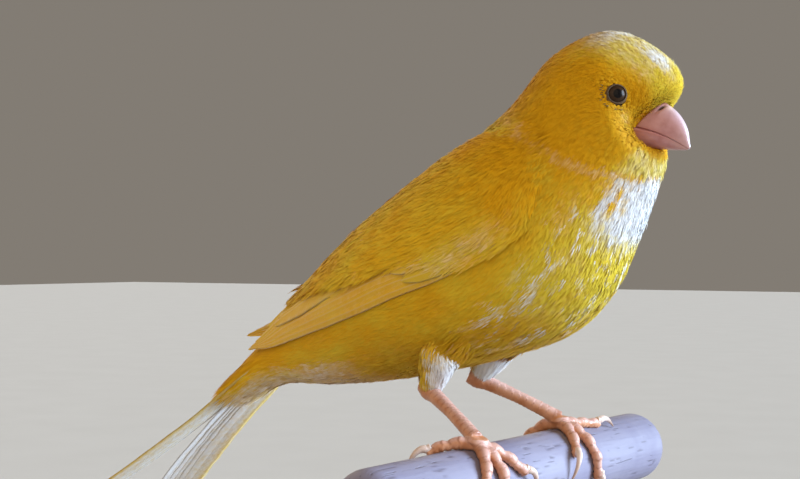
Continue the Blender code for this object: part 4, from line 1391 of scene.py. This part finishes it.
# Toe: turn from straight ahead towards the outer side in degrees, length, claw length
TOES = {
    "left": ((-172.0, 5.6, 4.6), (-34.0, 6.4, 4.2), (8.0, 9.6, 4.6), (76.0, 7.2, 4.2)),
    "right": ((142.0, 4.8, 4.4), (-46.0, 6.6, 4.2), (-4.0, 9.6, 4.6), (36.0, 7.4, 4.2)),
}
TOE_WORDS = ("hallux", "inner_toe", "middle_toe", "outer_toe")
PLATE_LENGTH = 1.35


def perch_point(foot, heading, travel, height):
    """Point at a height over the perch after travelling from the foot on a heading."""
    radius = PERCH_RADIUS + np.asarray(height)
    turn = math.asin(foot[0] / PERCH_RADIUS) + np.asarray(travel) * math.cos(heading) / radius
    y = foot[1] + np.asarray(travel) * math.sin(heading)
    return np.stack([radius * np.sin(turn), y, radius * np.cos(turn) - PERCH_RADIUS], -1)


def foot_lines(word):
    """Lines, radii and upper directions of the shank, the ball of the foot and the four toes."""
    ankle, foot = np.array(ANKLE[word]), np.array(FOOT[word])
    share = np.linspace(-0.1, 1.0, 90)
    shank = ankle + (foot + (0, 0, 0.3) - ankle) * share[:, None]
    shank[:, 2] += 0.25 * np.sin(math.pi * np.clip(share, 0, 1))
    knob = 0.22 * np.exp(-((share - 0.02) / 0.07) ** 2)
    lines = [(shank, np.interp(share, *zip(*TARSUS_RADII)) * 0.95 + knob)]
    rise = np.linspace(2.3, 1.0, 20)
    lines.append((perch_point(foot, 0.0, 0 * rise, rise), np.interp(rise, (1.0, 1.5, 2.3), (1.3, 2.0, 1.5))))
    for turn, length, _ in TOES[word]:
        travel = np.linspace(0.3, TOE_START + length + 0.2, 70)
        joints = 1 + 0.11 * np.cos(travel * TAU / 3.0)
        taper = np.interp(travel, (0, 3, TOE_START + length), (1.25, 1.05, 0.86))
        radii = TOE_RADIUS * joints * taper
        heading = math.radians(turn) * SIDES[word]
        lines.append((perch_point(foot, heading, travel, radii - 0.02), radii))
    return lines


# %% Foot skin
def make_foot(word):
    """Joined skin, pushed out by plates above and pads below, which are left as masks too."""
    lines = foot_lines(word)
    foot = join_tubes("foot_skin_" + word, [tube_rings(line, radii, 20) for line, radii in lines], 0.2, 4)
    points, normals = mesh_arrays(foot.data)
    centres = np.concatenate([line for line, radii in lines])
    run = np.concatenate([np.cumsum(np.linalg.norm(np.diff(line, axis=0, prepend=line[:1]), axis=1))
                          for line, radii in lines])
    axle = np.array((0.0, 0.0, -PERCH_RADIUS))
    kind = np.repeat(np.arange(len(lines)), [len(line) for line, radii in lines])
    away = np.linalg.norm(points[:, None] - centres[None], axis=2)
    near = away.argmin(1)
    spoke = unit(points - centres[near])
    shank_front = unit(np.cross(unit(lines[0][0][-1] - lines[0][0][0]), (0.0, -1.0, 0.0)))
    shank_front = shank_front * np.sign(shank_front[0])
    over_perch = unit((centres[near] - axle) * (1, 0, 1))
    upper = np.where((kind[near] == 0)[:, None], shank_front, over_perch)
    facing = (spoke * upper).sum(1)
    place = run[near] / PLATE_LENGTH + 0.06 * np.sin(8 * facing)
    tooth = place - np.floor(place)
    dorsal = smooth_step(facing, -0.25, 0.35)
    pad = np.cos(TAU * run[near] / 1.1) * smooth_step(-facing, 0.1, 0.6) * (kind[near] > 1)
    side_cells = np.sin(TAU * run[near] / 0.8) * np.sin(9 * facing) * (1 - dorsal)
    push = 0.13 * (tooth ** 0.8 - 0.45) * dorsal + 0.07 * pad + 0.03 * side_cells
    push = push * smooth_step(np.linalg.norm(points - lines[1][0].mean(0), axis=1), 1.9, 3.4)
    points = points + normals * push[:, None]
    foot.data.vertices.foreach_set("co", world_points(points).astype(np.float32).ravel())
    crease = np.exp(-(np.minimum(tooth, 1 - tooth) / 0.09) ** 2) * dorsal
    # The facing mask lets the leg material paint the upper side paler, partly as a painted highlight.
    set_masks(foot.data, {"crease": crease, "facing": facing})
    foot.data.update()
    return report(foot)


def make_claws(word):
    """Four curved claws, thick and round at the root and pointed at the tip, flattened sideways."""
    foot, claws, tips = np.array(FOOT[word]), [], []
    for turn, length, claw in TOES[word]:
        share = np.linspace(-0.16, 1, 34)
        travel = TOE_START + length + 0.3 + claw * share
        height = TOE_RADIUS + 0.35 + 0.75 * np.sin(math.pi * np.clip(share, 0, 1) ** 0.9) - 0.85 * share
        heading = math.radians(turn) * SIDES[word]
        radii = 0.07 + 0.62 * np.clip(1 - share, 0, 1) ** 0.75 * np.interp(share, (-0.16, 0.1), (0.75, 1))
        line = perch_point(foot, heading, travel, height)
        claws.append(tube_rings(line, radii, 20))
        tips.append(np.concatenate([np.repeat(np.clip(share, 0, 1), 20), (0, 1)]))
    return report(tube_object("claws_" + word, claws, {"tip": tips}))


# %% Leg materials
def make_leg_material():
    """Orange pink horny skin: duller creases, a paler, cooler upper side that is partly its own colour and
    partly a painted highlight, fine scratches.
    """
    material, tree, shader, place = new_material("leg_plates")
    mottle = use_group(tree, mottle_group, {"Place": place, "Scale": 380.0})
    color = blend(tree, rescale(tree, mottle["Value"], 0.35, 0.65), (0.54, 0.21, 0.09), (0.66, 0.31, 0.17))
    # Partly painted highlight: the side facing up and forward is blended towards a pale, cool pink.
    pale = rescale(tree, attribute(tree, "facing"), 0.1, 0.9, 0.0, 0.5)
    color = blend(tree, pale, color, (0.76, 0.54, 0.54))
    color = blend(tree, calculate(tree, "MULTIPLY", attribute(tree, "crease"), 0.6), color,
                  (0.34, 0.11, 0.05))
    tree.links.new(color, shader.inputs["Base Color"])
    tree.links.new(rescale(tree, mottle["Value"], 0.3, 0.7, 0.34, 0.52), shader.inputs["Roughness"])
    shader.inputs["Coat Weight"].default_value = 0.08
    bump_to(tree, shader, mottle["Height"], 0.00008)
    return material


def make_claw_material():
    """Pale horn, browner and clearer towards the tip, with fine lengthwise lines."""
    material, tree, shader, place = new_material("claw_horn")
    lines = noise(tree, place, 900, 3)
    root = blend(tree, lines, (0.70, 0.50, 0.42), (0.80, 0.64, 0.56))
    tip = blend(tree, lines, (0.34, 0.20, 0.14), (0.46, 0.30, 0.22))
    color = blend(tree, rescale(tree, attribute(tree, "tip"), 0.35, 1.0), root, tip)
    tree.links.new(color, shader.inputs["Base Color"])
    tree.links.new(rescale(tree, lines, 0.3, 0.7, 0.24, 0.38), shader.inputs["Roughness"])
    bump_to(tree, shader, lines, 0.00003)
    return material


leg_material, claw_material = make_leg_material(), make_claw_material()
for word in SIDES:
    foot, claws = make_foot(word), make_claws(word)
    foot.data.materials.append(leg_material)
    claws.data.materials.append(claw_material)
    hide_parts("tarsus_" + word, "foot_pad_" + word, *(f"{toe}_{word}" for toe in TOE_WORDS))
    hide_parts(*(f"{toe}_claw_{word}" for toe in TOE_WORDS))
    for piece, slot in ((foot, "leg"), (claws, "claw")):
        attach(piece, "root")

# %% [markdown]
# ## Perch and stand
#
# The perch is a pale painted dowel, worn and finely cracked along its grain. It is cut short, its ends
# are rounded, and two turned steel rods carry it over a turned wooden base. All are profiles turned
# round an axis, the perch round a level one. Its cracks are pressed into the mesh by a noise that is
# stretched along the grain, and the paint keeps the same cracks as dark lines.

# %% Turned pieces
def turned_points(profile, around, level=False, place=(0.0, 0.0)):
    """Rings of a profile of radius and height, round an upright axis, or round the perch's level one."""
    profile = np.asarray(profile, float)
    turn = np.linspace(0, TAU, around, endpoint=False)
    circle = profile[:, :1] * np.cos(turn), profile[:, :1] * np.sin(turn)
    along = np.broadcast_to(profile[:, 1:], circle[0].shape)
    if level:
        return np.stack([circle[1], along, circle[0] - PERCH_RADIUS], -1)
    return np.stack([circle[0] + place[0], circle[1] + place[1], along - PERCH_TOP], -1)


def rounded(profile, radius, steps=8):
    """Profile whose inner corners are rounded: each is replaced by a quadratic curve between two cuts."""
    profile = np.asarray(profile, float)
    out = [profile[:1]]
    t = np.linspace(0, 1, steps)[:, None]
    for before, corner, after in zip(profile, profile[1:], profile[2:]):
        back, ahead = before - corner, after - corner
        cut = min(radius, 0.45 * np.linalg.norm(back), 0.45 * np.linalg.norm(ahead))
        a, b = corner + unit(back) * cut, corner + unit(ahead) * cut
        out.append(a * (1 - t) ** 2 + corner * 2 * t * (1 - t) + b * t ** 2)
    out.append(profile[-1:])
    return np.concatenate(out)


# %% Perch
PERCH_ENDS = (-45.0, 48.0)
PERCH_ROUNDING = 3.6


def make_perch():
    """Turned dowel with rounded ends and shallow cracks."""
    rim = np.radians(np.linspace(0, 90, 14))[:, None]
    ends = []
    for place, way in zip(PERCH_ENDS, (1, -1)):
        cap = np.concatenate([PERCH_RADIUS - PERCH_ROUNDING + PERCH_ROUNDING * np.sin(rim),
                              place + way * PERCH_ROUNDING * (1 - np.cos(rim))], 1)
        ends.append(np.concatenate([np.stack([np.linspace(0.05, 2.4, 8), np.full(8, place)], -1), cap]))
    inner = PERCH_ENDS[0] + PERCH_ROUNDING + 0.2, PERCH_ENDS[1] - PERCH_ROUNDING - 0.2
    middle = np.stack([np.full(260, PERCH_RADIUS), np.linspace(*inner, 260)], -1)
    profile = np.concatenate([ends[0], middle, ends[1][::-1]])
    points = turned_points(profile, 168, level=True)
    turn = np.broadcast_to(np.linspace(0, 24, 168, endpoint=False), points.shape[:2])
    crack = smooth_step(patch_noise(turn * 3.6 + 50, points[..., 1] * 0.34 + 50, 81), 0.76, 0.92)
    crack = crack * smooth_step(patch_noise(turn * 6 + 20, points[..., 1] * 0.8 + 50, 82), 0.35, 0.6)
    wave = patch_noise(turn * 0.5 + 9, points[..., 1] * 0.08 + 20, 83) - 0.5
    axis = np.stack([0 * turn, points[..., 1], 0 * turn - PERCH_RADIUS], -1)
    points = axis + (points - axis) * (1 - 0.014 * crack + 0.006 * wave)[..., None]
    mask = np.concatenate([crack.ravel(), (0, 0)])
    return report(tube_object("perch_dowel", [points], {"crack": [mask]}))


def make_perch_material():
    """Worn pale paint with a lilac cast that is partly painted cool light: dark cracks, fine brushed grain,
    faint dirt.
    """
    material, tree, shader, place = new_material("perch_paint")
    grain = noise(tree, place, 900, 3, (1.0, 0.06, 1.0))
    dirt = noise(tree, place, 90, 3)
    # Partly painted light: the lilac of these paint colours stands in part for cool light on pale paint.
    color = blend(tree, rescale(tree, dirt, 0.35, 0.7), (0.28, 0.26, 0.35), (0.23, 0.21, 0.30))
    color = blend(tree, rescale(tree, grain, 0.5, 0.75, 0.0, 0.35), color, (0.17, 0.155, 0.24))
    fine = rescale(tree, noise(tree, place, 1500, 2, (1.0, 0.09, 1.0)), 0.66, 0.72)
    dark = calculate(tree, "MAXIMUM", attribute(tree, "crack"), calculate(tree, "MULTIPLY", fine, 0.7))
    color = blend(tree, calculate(tree, "MULTIPLY", dark, 0.8), color, (0.13, 0.11, 0.15))
    tree.links.new(color, shader.inputs["Base Color"])
    tree.links.new(rescale(tree, dirt, 0.3, 0.7, 0.45, 0.68), shader.inputs["Roughness"])
    height = calculate(tree, "MULTIPLY_ADD", fine, -0.8, grain)
    bump_to(tree, shader, height, 0.00012)
    return material


# %% Stand
BASE_PROFILE = ((0.5, 0), (50.6, 0), (52, 0.9), (52, 4.4), (50.4, 6.2), (49.4, 6.3), (48.9, 7.1), (47.6, 8),
                (0.5, 8))
ROD_PROFILE = ((0.1, 8.0), (4.5, 8.0), (4.5, 9.0), (3.3, 9.7), (2.6, 9.9), (2.5, 10.7), (2.0, 11.4),
               (2.0, 44.0), (2.35, 44.5), (2.35, 45.6), (0.1, 46.2))
ROD_PLACES = {"stand_rod_right": -33.0, "stand_rod_left": 35.0}


def make_wood_material():
    """Dark varnished wood with growth rings and pores."""
    material, tree, shader, place = new_material("base_wood")
    spot = put(tree, "ShaderNodeMapping", {"Vector": place, "Scale": (1.0, 0.16, 1.0)}).outputs[0]
    rings = put(tree, "ShaderNodeTexWave", {
        "Vector": spot, "Scale": 36.0, "Distortion": 9.0, "Detail": 4.0}).outputs["Fac"]
    color = blend(tree, rings, (0.15, 0.072, 0.032), (0.21, 0.108, 0.05))
    pores = noise(tree, place, 1400, 3, (1.0, 0.07, 1.0))
    color = blend(tree, rescale(tree, pores, 0.55, 0.7, 0.0, 0.6), color, (0.06, 0.028, 0.012))
    tree.links.new(color, shader.inputs["Base Color"])
    tree.links.new(rescale(tree, pores, 0.4, 0.7, 0.30, 0.48), shader.inputs["Roughness"])
    shader.inputs["Coat Weight"].default_value = 0.25
    bump_to(tree, shader, calculate(tree, "MULTIPLY_ADD", pores, -0.7, rings), 0.00006)
    return material


def make_steel_material():
    """Brushed steel with fine turning marks and faint smudges."""
    material, tree, shader, place = new_material("rod_steel")
    marks = noise(tree, place, 2400, 3, (0.12, 0.12, 1.0))
    smudge = noise(tree, place, 160, 3)
    color = blend(tree, smudge, (0.50, 0.49, 0.47), (0.62, 0.61, 0.59))
    tree.links.new(color, shader.inputs["Base Color"])
    shader.inputs["Metallic"].default_value = 1.0
    rough = calculate(tree, "MULTIPLY_ADD", marks, 0.18, rescale(tree, smudge, 0.3, 0.7, 0.2, 0.3))
    tree.links.new(rough, shader.inputs["Roughness"])
    bump_to(tree, shader, marks, 0.00003)
    return material


base = report(tube_object("stand_base_turned", [turned_points(rounded(BASE_PROFILE, 1.2), 160)]))
base.data.materials.append(make_wood_material())
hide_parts("stand_base")
perch = make_perch()
perch.data.materials.append(make_perch_material())
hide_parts("perch")
rod_material = make_steel_material()
rods = []
for node, y in ROD_PLACES.items():
    rings = turned_points(rounded(ROD_PROFILE, 0.4), 64, place=(0.0, y))
    rod = report(tube_object(node + "_turned", [rings]))
    rod.data.materials.append(rod_material)
    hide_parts(node)
    rods.append(rod)
for piece in (base, perch, *rods):
    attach(piece, "root")

# %% [markdown]
# ## Camera, light and floor
#
# The camera is an estimate of the photograph's: about 245 mm away, level, 34 degrees round from the
# bird's right side. The light is soft: a cool window-like glow from the bird's front left, a warm weak
# fill from its right, a weaker one from behind it, and a pale room all round.

# %% Camera
PICTURE = (800, 479)
FOCAL_PIXELS = 1480.0
HORIZON_ROW = 252.0
AIM_PIXEL = (515.0, 438.0)
CAMERA_TURN = math.radians(34.0)
CAMERA_DISTANCE = 245.0
SENSOR = 36.0


def make_camera():
    """Camera that sees the perch's top line between the feet at the aimed pixel."""
    tilt = math.atan((PICTURE[1] / 2 - HORIZON_ROW) / FOCAL_PIXELS)
    right = Vector((math.cos(CAMERA_TURN), math.sin(CAMERA_TURN), 0))
    ahead = Vector((-math.sin(CAMERA_TURN) * math.cos(tilt), math.cos(CAMERA_TURN) * math.cos(tilt),
                    -math.sin(tilt)))
    upward = right.cross(ahead)
    across = (AIM_PIXEL[0] - PICTURE[0] / 2) / FOCAL_PIXELS * CAMERA_DISTANCE
    up = (PICTURE[1] / 2 - AIM_PIXEL[1]) / FOCAL_PIXELS * CAMERA_DISTANCE
    place = Vector((0, 0, PERCH_TOP)) - right * across - ahead * CAMERA_DISTANCE - upward * up
    data = bpy.data.cameras.new("camera")
    data.sensor_width = SENSOR
    data.lens = FOCAL_PIXELS / PICTURE[0] * SENSOR
    data.clip_start = 0.01
    camera = bpy.data.objects.new("camera", data)
    turn = Matrix((right, upward, -ahead)).transposed().to_4x4()
    camera.matrix_world = Matrix.Translation(place * MM) @ turn
    bpy.context.scene.collection.objects.link(camera)
    bpy.context.scene.camera = camera
    print("camera at", [round(v * MM, 4) for v in place], "lens", round(data.lens, 1), "mm")


make_camera()

# %% Light and floor
# Light: turn from straight ahead of the bird to its left, height in degrees, spread, power, colour
LIGHTS = {
    "window_light": (30.0, 13.0, 40.0, 8.4, (0.62, 0.80, 1.0)),
    "room_fill": (-70.0, 20.0, 80.0, 1.4, (1.0, 0.84, 0.64)),
    "back_fill": (150.0, 22.0, 70.0, 1.2, (1.0, 0.84, 0.66)),
}


def make_light(name, turn, height, spread, power, color):
    """Wide, soft sun that shines from a turn and a height."""
    turn, height = math.radians(turn), math.radians(height)
    data = bpy.data.lights.new(name, "SUN")
    data.energy = power
    data.color = color
    data.angle = math.radians(spread)
    light = bpy.data.objects.new(name, data)
    toward = Vector((math.cos(turn) * math.cos(height), math.sin(turn) * math.cos(height), math.sin(height)))
    light.rotation_euler = toward.to_track_quat("Z", "Y").to_euler()
    light.location = toward * 0.6
    bpy.context.scene.collection.objects.link(light)


FLOOR_HALF = 3000.0


def make_floor():
    """Wide pale floor with a faint mottle."""
    corner = np.array(((-1, -1, 0), (1, -1, 0), (1, 1, 0), (-1, 1, 0))) * FLOOR_HALF - (0, 0, PERCH_TOP)
    floor = mesh_object("floor", corner, (0, 1, 2, 3), (4,))
    material, tree, shader, place = new_material("pale_floor")
    mottle = use_group(tree, mottle_group, {"Place": place, "Scale": 30.0})
    color = blend(tree, mottle["Value"], (0.56, 0.53, 0.49), (0.61, 0.58, 0.54))
    tree.links.new(color, shader.inputs["Base Color"])
    shader.inputs["Roughness"].default_value = 0.9
    floor.data.materials.append(material)


for name, values in LIGHTS.items():
    make_light(name, *values)
make_floor()
scene = bpy.context.scene
scene.world = bpy.data.worlds.new("pale_room")
scene.world.use_nodes = True
room = scene.world.node_tree.nodes["Background"].inputs
room["Color"].default_value = (0.80, 0.72, 0.62, 1)
room["Strength"].default_value = 0.28
scene.view_settings.view_transform = "Standard"
